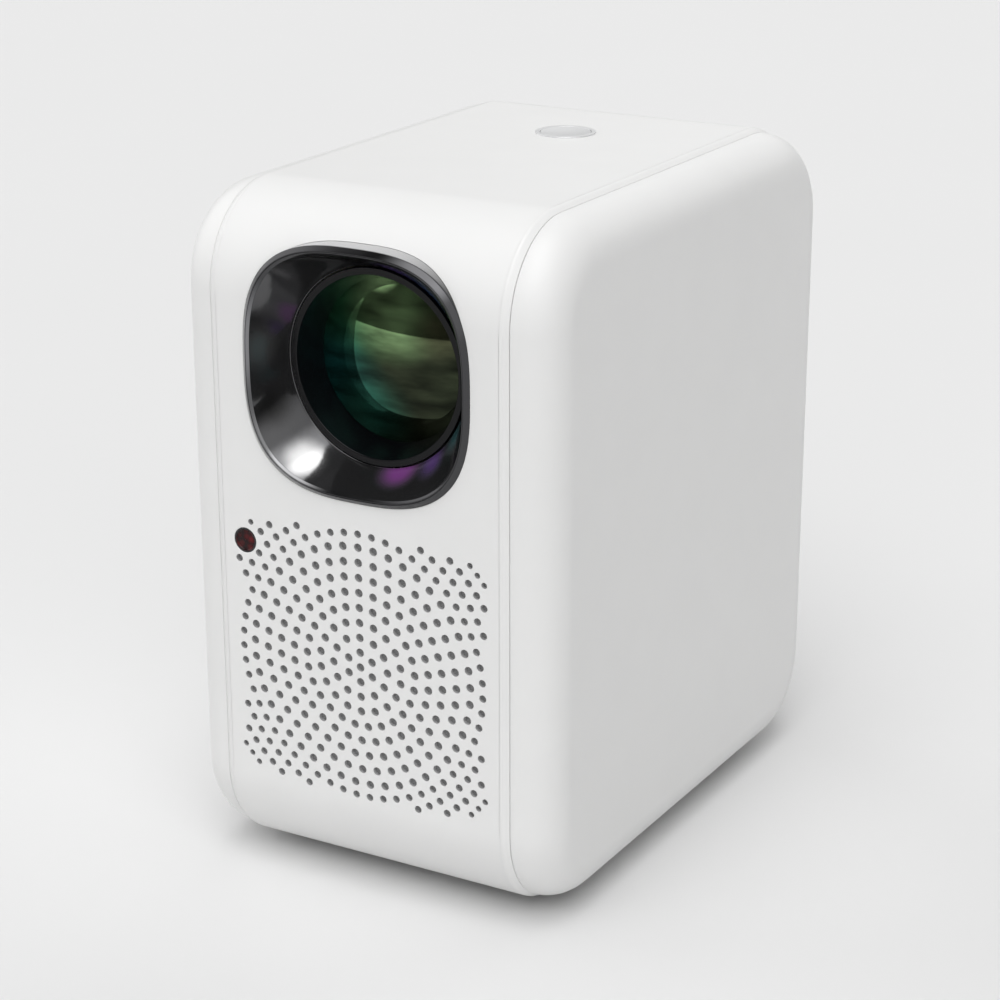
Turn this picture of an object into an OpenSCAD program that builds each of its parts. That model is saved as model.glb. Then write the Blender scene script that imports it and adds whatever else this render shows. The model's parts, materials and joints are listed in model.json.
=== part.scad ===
// Upright home projector: a rounded central band, two softly rounded side panels,
// an electrically focused lens in a glossy bezel, and a folded LCD light engine inside.
// X runs to the right seen from the front, the front faces -Y, and Z is up from the feet.

/* [Casing] */
// Overall width across both side panels
body_w = 120; // [100:1:140]
// Depth of the casing from front face to rear face
body_d = 178; // [178:1:200]
// Height of the casing above its feet
body_h = 200; // [196:1:220]
// Corner radius of the casing seen from the side
corner_r = 28.5; // [20:0.5:30]
// Width of the central band between the two seams
band_w = 94.5; // [92:0.5:100]
// Length along X of the sloped edge of the band
band_edge = 1.8; // [1:0.1:3]
// Step down from the band to the side panels
seam_drop = 1.2; // [0.6:0.1:2]
// Edge rounding of the side panels
panel_round = 12.5; // [8:0.5:12.5]
// Thickness of the casing walls
wall = 2.4; // [2:0.1:3]
// Height of the rubber feet
foot_h = 2; // [1.5:0.1:4]

/* [Lens] */
// Height of the lens axis above the casing's underside
lens_up = 153.8; // [150:0.1:158]
// Half width of the bezel's outer outline
bezel_half = 36.1; // [35:0.1:38]
// Height of the bezel's outline as a share of its width
bezel_squash = 0.986; // [0.9:0.002:1]
// Exponent of the bezel's superellipse outline
bezel_exp = 2.85; // [2.2:0.05:4]
// Width of the bezel's sloped outer flank
bezel_flank = 1.3; // [0.8:0.1:2]
// How far the bezel and the rear panel stand proud of the casing
proud = 1.2; // [0.8:0.1:2]
// Depth of the barrel's front rim behind the front face
rim_depth = 11; // [10:0.5:14]
// Outer radius of the focusing barrel
barrel_r = 27.9; // [26:0.1:28.5]

/* [Speaker grille] */
// Height of the grille's centre above the casing's underside
grille_up = 69.8; // [60:0.1:75]
// Ring spacing of the inner rings of holes
ring_pitch = 4.45; // [4:0.05:5]
// Ring spacing of the outer rings of holes
outer_pitch = 3.93; // [3.5:0.01:4.5]
// Half size of the square that the holes fill
grille_half = 40; // [35:0.1:42]
// Radius of the inner grille holes
hole_r = 1.25; // [1:0.05:1.5]

/* [Buttons and windows] */
// Outer radius of the power button's trim ring
button_r = 9.1; // [8:0.1:11]
// Distance of the power button behind the casing's middle
button_back = 29; // [20:1:40]
// Travel of the power button
button_travel = 0.8; // [0.5:0.1:1.5]
// Sideways position of the infrared window
ir_x = -37.8; // [-40:0.1:-36]
// Height of the infrared window above the casing's underside
ir_up = 100.9; // [98:0.1:104]
// Radius of the infrared window
ir_r = 3.6; // [3:0.1:4.5]

/* [Focus drive] */
// Gear module of the focus drive
gear_module = 0.8; // [0.6:0.1:1]
// Teeth of the focus ring
ring_teeth = 81; // [79:1:83]
// Teeth of the motor pinion
pinion_teeth = 12; // [12:1:14]

/* [View] */
// Sub-part to draw

/* [Hidden] */
$fn = 96;

eps = 0.01;
gap = 0.4;
front_y = -body_d / 2;
rear_y = body_d / 2;
floor_z = foot_h;
top_z = foot_h + body_h;
mid_z = foot_h + body_h / 2;
band_x = band_w / 2;
side_x = body_w / 2;
lens_z = foot_h + lens_up;
grille_z = foot_h + grille_up;
ir_z = foot_h + ir_up;
in_front_y = front_y + wall;
in_rear_y = rear_y - wall;
in_floor_z = floor_z + wall;
in_top_z = top_z - wall;

panel_wall = 2.2;
seam_gap = 0.1;
panel_t = side_x - band_x - seam_gap;
panel_r = corner_r - seam_drop;
panel_d = body_d - 2 * seam_drop;
panel_h = body_h - 2 * seam_drop;
panel_lip = panel_t - panel_round;
tongue_in = 3;
tongue_t = 1.9;
tongue_gap = 0.3;

inner_rings = 8;
ring_counts = [1, 6, 12, 18, 25, 30, 35, 40, 45, 55, 65, 75, 98];
ring_sizes = [1, 1, 1, 1, 1, 1, 1, 1, 1, 0.886, 0.886, 0.886, 0.71];
ir_clear = 5;
// Beyond this x the hole field is 1 mm lower, which rounds its corners.
corner_x = 22;
// Ring and place of the one hole that is left out beside the window.
blank_hole = [10, 53];
grille_wall = 1.3;
mesh_y = front_y + grille_wall;
mesh_half = 41.3;
mesh_t = 0.5;

rear_half_x = 40;
rear_z0 = 36;
rear_z1 = 168;
rear_corner = 6;
ledge_w = 4;
ledge_t = 4.2;
rear_play = 0.3;
rear_out_y = rear_y + proud;
rear_screw_x = 36;
rear_screw_in = 4;
screw_r = 1.5;
head_r = 2.8;
head_h = 1.4;

foot_x = 34;
foot_y = 47;
foot_r = 7;
foot_pocket = 0.8;
insert_r = 5.5;
insert_bore_r = 2.55;
insert_len = 9;

bezel_in = bezel_half - bezel_flank - 0.9;
bezel_back_y = front_y + 10;
bezel_bore = bezel_half - 1.2;
lip_t = 0.6;
funnel_in = bezel_in;
funnel_wall = bezel_bore - bezel_in - 0.05;
opening_half = bezel_half + 0.1;
rim_y = front_y + rim_depth;
funnel_end_y = rim_y + 0.6;
funnel_end_r = barrel_r + 0.5;

engine_y = 20;
box_x = 52;
box_front_y = engine_y - 37;
box_rear_y = engine_y + 37;
box_z0 = 58;
box_z1 = 118;
box_wall = 2.4;
fold_sum = engine_y + lens_z;
mirror_t = 2;
mirror_back_sum = fold_sum + mirror_t * sqrt(2);
box_back_sum = mirror_back_sum + box_wall * sqrt(2);
mirror_top_z = 194;

holder_r = barrel_r + gap;
holder_out_r = 31.5;
holder_front_y = -56;
ring_back_y = holder_front_y - gap;
ring_front_y = -64.4;
gear_back_y = -57.4;
pressure = 25;
backlash = 0.5;
pinion_angle = 135;
pinion_dist = gear_module * (ring_teeth + pinion_teeth) / 2 + 0.08;

fan_y = 60;
fan_t = 15;
fan_half = 35;
fan_z = 56;
fan_bore_r = 33;
hub_r = 15;
blades = 7;
duct_y = 82.2;

board_y0 = 38;
board_y1 = 82.2;
board_x = 42;
board_z = 150;
board_t = 1.6;
port_z = board_z + board_t;
port_end_y = 88.6;
hdmi_x = -24;
usb_x = -2;
jack_x = 20;
jack_z = port_z + 3.2;
inlet_x = 22;
inlet_z = 108;

box_half = 32;
ear_z = 43.8;
spk_front_y = -82.6;
spk_back_y = -48;
spk_hole_r = 27.5;
power_board_y = -44;

// Rounded rectangle as a flat outline, centred on the origin.
module round_rect(w, h, r) {
    square([w - 2 * r, h], center = true);
    square([w, h - 2 * r], center = true);
    for (sx = [-1, 1])
        for (sy = [-1, 1])
            translate([sx * (w / 2 - r), sy * (h / 2 - r)])
                circle(r);
}

// Turns a drawing in the side view, with its height along X.
module side_view() {
    translate([0, 0, mid_z])
        rotate([90, 0, 90])
            children();
}

// Sweeps a flat profile round a rounded rectangle. The profile's x is the distance
// from the corner axis and its y is the height.
module sweep_round(len_a, len_b, r) {
    for (q = [0 : 3]) {
        odd = q % 2 == 1;
        run = odd ? len_a : len_b;
        reach = (odd ? len_b : len_a) / 2 - r;
        side = run / 2 - r;
        rotate([0, 0, 90 * q]) {
            translate([reach, 0, 0])
                rotate([90, 0, 0])
                    linear_extrude(height = run - 2 * r, center = true)
                        children();
            translate([reach, side, 0])
                rotate_extrude(angle = 90)
                    children();
        }
    }
}

// A drawing seen from the front, whose back lies at y and whose height runs forward.
module front_view(y, z = 0) {
    translate([0, y, z])
        rotate([90, 0, 0])
            children();
}

// A solid turned round the lens or speaker axis, from points [radius, y].
module turned(points, z, x = 0) {
    translate([x, 0, z])
        rotate([90, 0, 0])
            rotate_extrude()
                polygon([for (p = points) [p[0], -p[1]]]);
}

// A round bar or hole along Y from y0 to y1.
module bar_y(r, y0, y1, x = 0, z = 0) {
    translate([x, y1, z])
        rotate([90, 0, 0])
            cylinder(r = r, h = y1 - y0);
}

// A block given by its limits on each axis.
module block(x0, x1, y0, y1, z0, z1) {
    translate([x0, y0, z0])
        cube([x1 - x0, y1 - y0, z1 - z0]);
}

function squircle(half, turns = 72) = [
    for (i = [0 : turns - 1])
        let (c = cos(360 * i / turns), s = sin(360 * i / turns))
            [
                sign(c) * half * pow(abs(c), 2 / bezel_exp),
                sign(s) * half * bezel_squash * pow(abs(s), 2 / bezel_exp)
            ]
];

function ring_radius(k) = k <= inner_rings
    ? k * ring_pitch
    : inner_rings * ring_pitch + (k - inner_rings) * outer_pitch;

// Half of a tooth's angle at radius r, on an involute flank.
function tooth_half(r, teeth) =
    let (base_r = gear_module * teeth / 2 * cos(pressure), slope = acos(min(1, base_r / r)))
        90 / teeth * (1 - backlash / 4) + (tan(pressure) - tan(slope)) * 180 / PI - pressure + slope;

function gear_points(teeth) =
    let (
        pitch_r = gear_module * teeth / 2,
        root_r = pitch_r - 1.25 * gear_module,
        base_r = max(root_r, pitch_r * cos(pressure)),
        tip_r = pitch_r + 0.95 * gear_module,
        steps = [for (i = [0 : 4]) base_r + (tip_r - base_r) * i / 4]
    )
    [
        for (k = [0 : teeth - 1])
            for (side = [-1, 1])
                for (i = [0 : 5])
                    let (
                        j = side < 0 ? i : 5 - i,
                        r = j == 0 ? root_r : steps[j - 1],
                        a = 360 * k / teeth + side * tooth_half(max(r, base_r), teeth)
                    )
                    [r * cos(a), r * sin(a)]
    ];

module grille_holes() {
    for (k = [0 : len(ring_counts) - 1])
        for (i = [0 : ring_counts[k] - 1]) {
            a = 90 - 360 * i / ring_counts[k];
            x = ring_radius(k) * cos(a);
            z = ring_radius(k) * sin(a);
            from_ir = norm([x - ir_x, z + grille_z - ir_z]);
            inside = abs(x) < grille_half + 0.2 && abs(z) < grille_half - (abs(x) > corner_x ? 1 : 0);
            if (inside && from_ir > ir_clear && [k, i] != blank_hole)
                bar_y(hole_r * ring_sizes[k], front_y - 1, in_front_y + 1, x, grille_z + z);
        }
}

module slots(width, height, pitch, count, y0, y1, z) {
    for (i = [0 : count - 1])
        front_view(y1, z + i * pitch)
            linear_extrude(height = y1 - y0)
                round_rect(width, height, height / 2 - eps);
}

module floor_slots(y) {
    for (i = [-6 : 6])
        if (abs(i) > 0)
            translate([i * 5.5, y, floor_z - 1])
                linear_extrude(height = wall + 2)
                    round_rect(3, 24, 1.49);
}

module band_shell() {
    color("#e9e9e8")
        difference() {
            union() {
                side_view()
                    sweep_round(body_d, body_h, corner_r)
                        polygon([
                            [corner_r - wall, -band_x],
                            [corner_r - seam_drop, -band_x],
                            [corner_r, band_edge - band_x],
                            [corner_r, band_x - band_edge],
                            [corner_r - seam_drop, band_x],
                            [corner_r - wall, band_x]
                        ]);
                // Ledge that the rear panel screws to.
                front_view(in_rear_y + eps, (rear_z0 + rear_z1) / 2)
                    linear_extrude(height = ledge_t)
                        difference() {
                            round_rect(2 * rear_half_x + 8, rear_z1 - rear_z0 + 6, 5);
                            round_rect(2 * (rear_half_x - ledge_w), rear_z1 - rear_z0 - 2 * ledge_w, 4);
                        }
                // Boss round the tripod insert.
                translate([0, 0, in_floor_z - eps])
                    cylinder(r = insert_r + 2.5, h = insert_len - wall + 1);
                // Posts for the key board and the speaker box.
                for (x = [-11.5, 11.5])
                    translate([x, button_back, 189.2])
                        cylinder(r = 1.4, h = in_top_z - 189.2 + eps);
                for (s = [-1, 1])
                    bar_y(2.2, in_front_y - 1, spk_front_y, 0, grille_z + s * ear_z);
            }
            front_view(bezel_back_y + 3, lens_z)
                linear_extrude(height = 14)
                    polygon(squircle(opening_half));
            grille_holes();
            // Thinner wall behind the sound holes, where the cloth lies.
            block(
                -mesh_half - 0.2, mesh_half + 0.2, mesh_y, in_front_y + eps,
                grille_z - mesh_half - 0.2, grille_z + mesh_half + 0.2
            );
            bar_y(ir_r + 0.1, front_y - 1, in_front_y + 1, ir_x, ir_z);
            translate([0, button_back, in_top_z - 1])
                cylinder(r = 8.2, h = wall + 2);
            front_view(rear_y + 1, (rear_z0 + rear_z1) / 2)
                linear_extrude(height = wall + 1)
                    round_rect(2 * rear_half_x, rear_z1 - rear_z0, rear_corner);
            for (x = [-rear_screw_x, rear_screw_x])
                for (z = [rear_z0 + rear_screw_in, rear_z1 - rear_screw_in])
                    bar_y(screw_r, in_rear_y - 6, rear_y, x, z);
            translate([0, 0, floor_z - 1])
                cylinder(r = insert_r, h = insert_len + 2);
            for (x = [-foot_x, foot_x])
                for (y = [-foot_y, foot_y])
                    translate([x, y, floor_z - 1])
                        cylinder(r = foot_r + 0.2, h = 1 + foot_pocket);
            floor_slots(-26);
            floor_slots(26);
        }
}

// One side panel, drawn to the right of the seam.
module side_panel() {
    flat_r = panel_r - panel_round;
    translate([band_x + seam_gap, 0, 0])
        side_view() {
            sweep_round(panel_d, panel_h, panel_r)
                difference() {
                    union() {
                        translate([flat_r, 0])
                            square([panel_round, panel_lip]);
                        intersection() {
                            translate([flat_r, panel_lip])
                                circle(panel_round);
                            translate([flat_r, panel_lip])
                                square(panel_round);
                        }
                    }
                    intersection() {
                        translate([flat_r, panel_lip])
                            circle(panel_round - panel_wall);
                        translate([flat_r - 1, panel_lip - 1])
                            square(panel_round + 1);
                    }
                    translate([flat_r - 1, -1])
                        square([panel_round - panel_wall + 1, panel_lip + 1 + eps]);
                }
            translate([0, 0, panel_t - panel_wall])
                linear_extrude(height = panel_wall)
                    round_rect(panel_d - 2 * panel_round, panel_h - 2 * panel_round, flat_r);
            // Tongue that slips inside the band.
            sweep_round(panel_d, panel_h, panel_r)
                translate([corner_r - wall - tongue_gap - tongue_t, -tongue_in])
                    square([tongue_t, tongue_in + 3]);
        }
}

module left_panel() {
    color("#e9e9e8")
        mirror([1, 0, 0])
            side_panel();
}

module right_panel() {
    color("#e9e9e8")
        side_panel();
}

module port_holes(play) {
    block(hdmi_x - 7.5 - play, hdmi_x + 7.5 + play, 80, rear_out_y + 1, port_z - play, port_z + 6 + play);
    block(usb_x - 7.2 - play, usb_x + 7.2 + play, 80, rear_out_y + 1, port_z - play, port_z + 7.2 + play);
    bar_y(3.1 + play, 80, rear_out_y + 1, jack_x, jack_z);
}

module rear_panel() {
    mid = (rear_z0 + rear_z1) / 2;
    height = rear_z1 - rear_z0 - 2 * rear_play;
    color("#dcdcdb")
        difference() {
            front_view(rear_out_y, mid)
                linear_extrude(height = wall + proud)
                    round_rect(2 * (rear_half_x - rear_play), height, rear_corner - rear_play);
            slots(56, 3, 5.5, 8, in_rear_y - 1, rear_out_y + 1, 46);
            slots(56, 3, 5.5, 4, in_rear_y - 1, rear_out_y + 1, 124);
            port_holes(0.4);
            block(inlet_x - 10.3, inlet_x + 10.3, 80, rear_out_y + 1, inlet_z - 6.3, inlet_z + 6.3);
            for (x = [-rear_screw_x, rear_screw_x])
                for (z = [rear_z0 + rear_screw_in, rear_z1 - rear_screw_in]) {
                    bar_y(screw_r + 0.2, in_rear_y - 1, rear_out_y + 1, x, z);
                    bar_y(head_r + 0.2, rear_out_y - head_h, rear_out_y + 1, x, z);
                }
        }
}

module rubber_feet() {
    color("#2b2b2b")
        for (x = [-foot_x, foot_x])
            for (y = [-foot_y, foot_y])
                translate([x, y, 0])
                    cylinder(r = foot_r, h = foot_h + foot_pocket);
}

module tripod_insert() {
    color("#b9964a")
        translate([0, 0, floor_z])
            difference() {
                cylinder(r = insert_r, h = insert_len + 1);
                translate([0, 0, -1])
                    cylinder(r = insert_bore_r, h = insert_len + 1);
            }
}

module case_screws() {
    color("#4a4a4c")
        for (x = [-rear_screw_x, rear_screw_x])
            for (z = [rear_z0 + rear_screw_in, rear_z1 - rear_screw_in])
                difference() {
                    union() {
                        bar_y(head_r, rear_out_y - head_h, rear_out_y - 0.1, x, z);
                        bar_y(screw_r - 0.05, in_rear_y - 3.8, rear_out_y - head_h + eps, x, z);
                    }
                    block(x - 0.4, x + 0.4, rear_out_y - 0.9, rear_out_y + 1, z - 1.6, z + 1.6);
                    block(x - 1.6, x + 1.6, rear_out_y - 0.9, rear_out_y + 1, z - 0.4, z + 0.4);
                }
}

module lens_slab(half, y0, y1) {
    front_view(y1, lens_z)
        linear_extrude(height = y1 - y0)
            polygon(squircle(half));
}

module lens_bezel() {
    crest_y = front_y - proud;
    color("#45474b")
        difference() {
            union() {
                hull() {
                    lens_slab(bezel_half, front_y - eps, front_y);
                    lens_slab(bezel_half - bezel_flank, crest_y, crest_y + eps);
                }
                lens_slab(bezel_half, front_y - eps, bezel_back_y);
            }
            lens_slab(bezel_bore, crest_y + lip_t, bezel_back_y + 1);
            hull() {
                lens_slab(bezel_in, crest_y + lip_t, crest_y + lip_t + eps);
                lens_slab(bezel_in + 0.8, crest_y - eps, crest_y);
            }
        }
}

module lens_funnel() {
    mouth_y = front_y - proud + lip_t;
    color("#26272a")
        difference() {
            hull() {
                lens_slab(funnel_in + funnel_wall, mouth_y, mouth_y + 1);
                bar_y(funnel_end_r + funnel_wall, funnel_end_y - eps, funnel_end_y, 0, lens_z, $fn = 72);
            }
            hull() {
                lens_slab(funnel_in, mouth_y - eps, mouth_y);
                bar_y(funnel_end_r, funnel_end_y, funnel_end_y + eps, 0, lens_z, $fn = 72);
            }
        }
}

module ir_window() {
    color("#4d1316")
        union() {
            bar_y(ir_r, front_y + 0.2, -84.3, ir_x, ir_z);
            bar_y(2.4, -84.3 - eps, -84.2, ir_x, ir_z);
        }
}

module button_ring() {
    color("#d8d9da")
        translate([0, button_back, 0])
            difference() {
                union() {
                    translate([0, 0, top_z])
                        cylinder(r = button_r, h = 0.4);
                    translate([0, 0, in_top_z])
                        cylinder(r = 8.1, h = wall + eps);
                }
                translate([0, 0, in_top_z - 1])
                    cylinder(r = 7.8, h = wall + 3);
            }
}

module power_button() {
    dish_r = 60;
    color("#e4e5e6")
        translate([0, button_back, 0])
            difference() {
                union() {
                    translate([0, 0, in_top_z - 1])
                        cylinder(r = 7.5, h = wall + 1.4);
                    translate([0, 0, in_top_z - 2])
                        cylinder(r = 9.2, h = 1.2);
                    translate([0, 0, 194.2])
                        cylinder(r = 2.2, h = in_top_z - 1.5 - 194.2);
                }
                translate([0, 0, top_z + dish_r])
                    sphere(dish_r);
            }
}

module grille_mesh() {
    color("#8b8c8e")
        difference() {
            block(-mesh_half, mesh_half, mesh_y, mesh_y + mesh_t, grille_z - mesh_half, grille_z + mesh_half);
            bar_y(ir_clear - 0.4, mesh_y - 1, mesh_y + 1, ir_x, ir_z);
        }
}

module speaker_gasket() {
    color("#3a3a3c")
        difference() {
            block(-30, 30, mesh_y + mesh_t, spk_front_y - 1.4, grille_z - 30, grille_z + 30);
            bar_y(26.5, -90, -80, 0, grille_z);
        }
}

module speaker_box() {
    color("#2f3032")
        union() {
            difference() {
                block(-box_half, box_half, spk_front_y, spk_back_y, grille_z - box_half, grille_z + box_half);
                block(
                    2.4 - box_half, box_half - 2.4, spk_front_y + 2, spk_back_y - 2.4,
                    grille_z - box_half + 2.4, grille_z + box_half - 2.4
                );
                bar_y(spk_hole_r, spk_front_y - 1, spk_front_y + 3, 0, grille_z);
            }
            for (s = [-1, 1])
                difference() {
                    translate([0, spk_front_y + 1.2, grille_z + s * (box_half + 7)])
                        cube([12, 2.4, 14 + eps], center = true);
                    bar_y(1.2, spk_front_y - 1, spk_front_y + 3, 0, grille_z + s * ear_z);
                }
            for (x = [-26, 26])
                for (z = [grille_z - 26, grille_z + 26])
                    bar_y(2.6, spk_back_y - eps, power_board_y, x, z);
        }
}

module speaker_basket() {
    color("#55565a")
        union() {
            difference() {
                front_view(spk_front_y, grille_z)
                    linear_extrude(height = 1.4)
                        round_rect(60, 60, 6);
                bar_y(26.5, -90, -80, 0, grille_z);
                for (x = [-26, 26])
                    for (z = [-26, 26])
                        bar_y(1.6, -90, -80, x, grille_z + z);
            }
            difference() {
                turned([[27.3, spk_front_y - eps], [25.9 + 1.4, -78], [20.5, -66], [11, -66], [11, -67.6],
                    [19.2, -67.6], [25.8, -78.4], [26.5, -80], [26.5, spk_front_y - eps]], grille_z);
                for (a = [0 : 60 : 120])
                    translate([0, -72.5, grille_z])
                        rotate([0, a, 0])
                            cube([70, 8, 11], center = true);
            }
        }
}

module speaker_magnet() {
    color("#3c3c40")
        union() {
            turned([[8.9, -66], [20, -66], [20, -63], [21.5, -63], [21.5, -55], [20, -55],
                [20, -52], [0, -52], [0, -55], [11, -55], [11, -63], [8.9, -63]], grille_z);
            bar_y(7.7, -66, -55 + eps, 0, grille_z);
        }
}

module speaker_cone() {
    color("#1f1f21")
        union() {
            turned([[8.1, -73.6], [8.1, -74.4], [21.2, -82.4], [21.8, -82.4], [21.8, -81.8], [8.8, -73.6]],
                grille_z);
            turned([[0, -78], [3, -77.7], [6, -76.6], [8.4, -74.6], [8.4, -74], [8.1, -73.9],
                [5.7, -76], [2.8, -77.1], [0, -77.4]], grille_z);
        }
}

module speaker_surround() {
    roll_r = 2.15;
    mid_r = 24;
    color("#151516")
        turned(concat(
            [for (i = [0 : 8]) [mid_r - roll_r * cos(22.5 * i), -82.4 - 0.8 * roll_r * sin(22.5 * i)]],
            [[mid_r + roll_r, -81.9]],
            [for (i = [0 : 8]) [mid_r + (roll_r - 0.5) * cos(22.5 * i), -81.9 - 0.8 * (roll_r - 0.5) * sin(22.5 * i)]],
            [[mid_r - roll_r, -81.9]]
        ), grille_z);
}

module voice_coil() {
    color("#b06a3a")
        turned([[8.1, -73.6], [8.45, -73.6], [8.45, -61], [8.1, -61]], grille_z);
}

module lens_front_ring() {
    color("#1a1b1d")
        turned([
            [barrel_r, rim_y], [barrel_r, rim_y + 6], [25.7, rim_y + 6], [25.7, rim_y + 9.4],
            [23.3, rim_y + 9.4], [23.3, rim_y + 8.8], [25.0, rim_y + 3.9], [25.6, rim_y + 3.2],
            [26.3, rim_y + 3.6], [27.5, rim_y]
        ], lens_z);
}

module lens_barrel() {
    color("#202124")
        union() {
            turned([
                [barrel_r, rim_y + 6], [barrel_r, -24], [20, -24], [20, -36], [17, -36], [17, -46],
                [20, -46], [20, -58.4], [25.7, -58.4], [25.7, rim_y + 6]
            ], lens_z);
            // Key that stops the barrel turning in its holder.
            block(-2, 2, -44, -40, lens_z - holder_out_r + 0.6, lens_z - barrel_r + 0.6);
        }
}

module front_element() {
    dome_r = 55;
    hollow_r = 60;
    seat_y = rim_y + 9.4;
    seat_r = 25.6;
    dome_y = seat_y + sqrt(dome_r * dome_r - 23.3 * 23.3);
    color([0.25, 0.5, 0.4, 0.5])
        difference() {
            intersection() {
                bar_y(seat_r, rim_y, -58.4, 0, lens_z);
                translate([0, dome_y, lens_z])
                    sphere(dome_r);
            }
            translate([0, -58.4 - 4.2 + hollow_r, lens_z])
                sphere(hollow_r);
        }
}

module middle_element() {
    color([0.6, 0.8, 0.8, 0.5])
        difference() {
            bar_y(19.9, -58.3, -46, 0, lens_z);
            translate([0, -54 - 38, lens_z])
                sphere(38);
        }
}

module rear_element() {
    color([0.6, 0.8, 0.8, 0.5])
        intersection() {
            bar_y(19.9, -36, -24.6, 0, lens_z);
            translate([0, -25 - 42, lens_z])
                sphere(42);
        }
}

module gear(teeth, y0, y1) {
    rotate([90, 0, 0])
        translate([0, 0, -y1])
            linear_extrude(height = y1 - y0)
                polygon(gear_points(teeth));
}

module focus_ring() {
    color("#c9c6b8")
        difference() {
            union() {
                translate([0, 0, lens_z])
                    rotate([0, -pinion_angle, 0])
                        gear(ring_teeth, ring_front_y, gear_back_y);
                bar_y(30.4, gear_back_y - eps, ring_back_y, 0, lens_z);
            }
            bar_y(holder_r, ring_front_y - 1, ring_back_y + 1, 0, lens_z);
        }
}

module at_pinion() {
    translate([pinion_dist * cos(pinion_angle), 0, lens_z + pinion_dist * sin(pinion_angle)])
        children();
}

module focus_pinion() {
    color("#d6d2c2")
        at_pinion()
            union() {
                rotate([0, -(pinion_angle + 180 + 180 / pinion_teeth), 0])
                    gear(pinion_teeth, ring_front_y + 0.2, gear_back_y - 0.2);
                bar_y(1, gear_back_y - 0.3, -47);
            }
}

module focus_motor() {
    color("#a9abae")
        at_pinion()
            difference() {
                union() {
                    bar_y(5.4, -54.5, -38);
                    bar_y(3, -56, -54.5 + eps);
                    bar_y(2, -38 - eps, -36.6);
                    block(-6.4, -5, -52, -42, -3, 3);
                }
                bar_y(1.4, -57, -46);
            }
}

module lens_holder() {
    arm_r = 33.8;
    color("#2a2b2e")
        difference() {
            union() {
                bar_y(holder_out_r, holder_front_y, box_front_y - 4 + eps, 0, lens_z);
                front_view(box_front_y, lens_z)
                    linear_extrude(height = 4)
                        round_rect(72, 72, 8);
                // Hooks that keep the focus ring in place.
                for (a = [45, 225, 315])
                    translate([0, 0, lens_z])
                        rotate([0, -a, 0]) {
                            block(30, arm_r + 2, holder_front_y, holder_front_y + 3, -4, 4);
                            block(arm_r, arm_r + 2, -66.2, holder_front_y + 3, -4, 4);
                            block(31, arm_r + 2, -66.2, ring_front_y - gap, -4, 4);
                        }
                // Arm that carries the focus motor.
                translate([0, 0, lens_z])
                    rotate([0, -pinion_angle, 0])
                        block(29, pinion_dist + 8, holder_front_y, -54.5, -8, 8);
            }
            bar_y(holder_r, holder_front_y - 1, box_front_y + 1, 0, lens_z);
            block(-2.3, 2.3, -50, -34, lens_z - holder_out_r - 1, lens_z - holder_r + 1);
            at_pinion()
                bar_y(3.1, holder_front_y - 1, -54);
            for (x = [-30, 30])
                for (z = [-30, 30])
                    bar_y(1.6, box_front_y - 5, box_front_y + 1, x, lens_z + z);
        }
}

module mirror_box() {
    color("#303135")
        difference() {
            translate([-box_x, 0, 0])
                rotate([90, 0, 90])
                    linear_extrude(height = 2 * box_x)
                        polygon([
                            [box_front_y, box_z1],
                            [box_rear_y, box_z1],
                            [box_rear_y, box_back_sum - box_rear_y],
                            [box_back_sum - mirror_top_z, mirror_top_z],
                            [box_front_y, mirror_top_z]
                        ]);
            translate([box_wall - box_x, 0, 0])
                rotate([90, 0, 90])
                    linear_extrude(height = 2 * (box_x - box_wall))
                        polygon([
                            [box_front_y + box_wall, box_z1 - 1],
                            [box_rear_y - box_wall, box_z1 - 1],
                            [box_rear_y - box_wall, mirror_back_sum - box_rear_y + box_wall],
                            [mirror_back_sum - mirror_top_z + box_wall, mirror_top_z - box_wall],
                            [box_front_y + box_wall, mirror_top_z - box_wall]
                        ]);
            bar_y(26, box_front_y - 1, box_front_y + box_wall + 1, 0, lens_z);
        }
}

module fold_mirror() {
    low_y = box_rear_y - box_wall - 2;
    high_y = mirror_back_sum - mirror_top_z + box_wall + 1;
    color("#d5dadd")
        translate([-44, 0, 0])
            rotate([90, 0, 90])
                linear_extrude(height = 88)
                    polygon([
                        [low_y, fold_sum - low_y],
                        [low_y, mirror_back_sum - low_y],
                        [high_y, mirror_back_sum - high_y],
                        [high_y, fold_sum - high_y]
                    ]);
}

module sheet(z0, z1) {
    block(-49, 49, box_front_y + box_wall + 0.4, box_rear_y - box_wall - 0.4, z0, z1);
}

module field_fresnel() {
    color([0.85, 0.9, 0.95, 0.6])
        sheet(114, 116);
}

module lcd_panel() {
    color("#4e5a66")
        sheet(106, 109.5);
}

module polariser() {
    color([0.6, 0.65, 0.7, 0.6])
        sheet(101, 102.5);
}

module collimator_fresnel() {
    color([0.85, 0.9, 0.95, 0.6])
        sheet(95, 97);
}

module light_box() {
    color("#2b2c2f")
        difference() {
            block(-box_x, box_x, box_front_y, box_rear_y, box_z0, box_z1);
            block(
                box_wall - box_x, box_x - box_wall, box_front_y + box_wall, box_rear_y - box_wall,
                box_z0 + box_wall, 94.9
            );
            for (z = [[94.8, 100], [101, 105], [106, 113], [114, 119]])
                block(
                    box_wall - box_x, box_x - box_wall, box_front_y + box_wall, box_rear_y - box_wall,
                    z[0], z[1]
                );
            block(1.2 + box_wall - box_x, box_x - box_wall - 1.2, box_front_y + 3.2, box_rear_y - 3.2, 94, 119);
            block(-21, 21, engine_y - 21, engine_y + 21, box_z0 - 1, box_z0 + 3);
            for (i = [-6 : 6])
                block(i * 7 - 1.5, i * 7 + 1.5, box_front_y - 1, box_rear_y + 1, 98, 99.6);
        }
}

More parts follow.
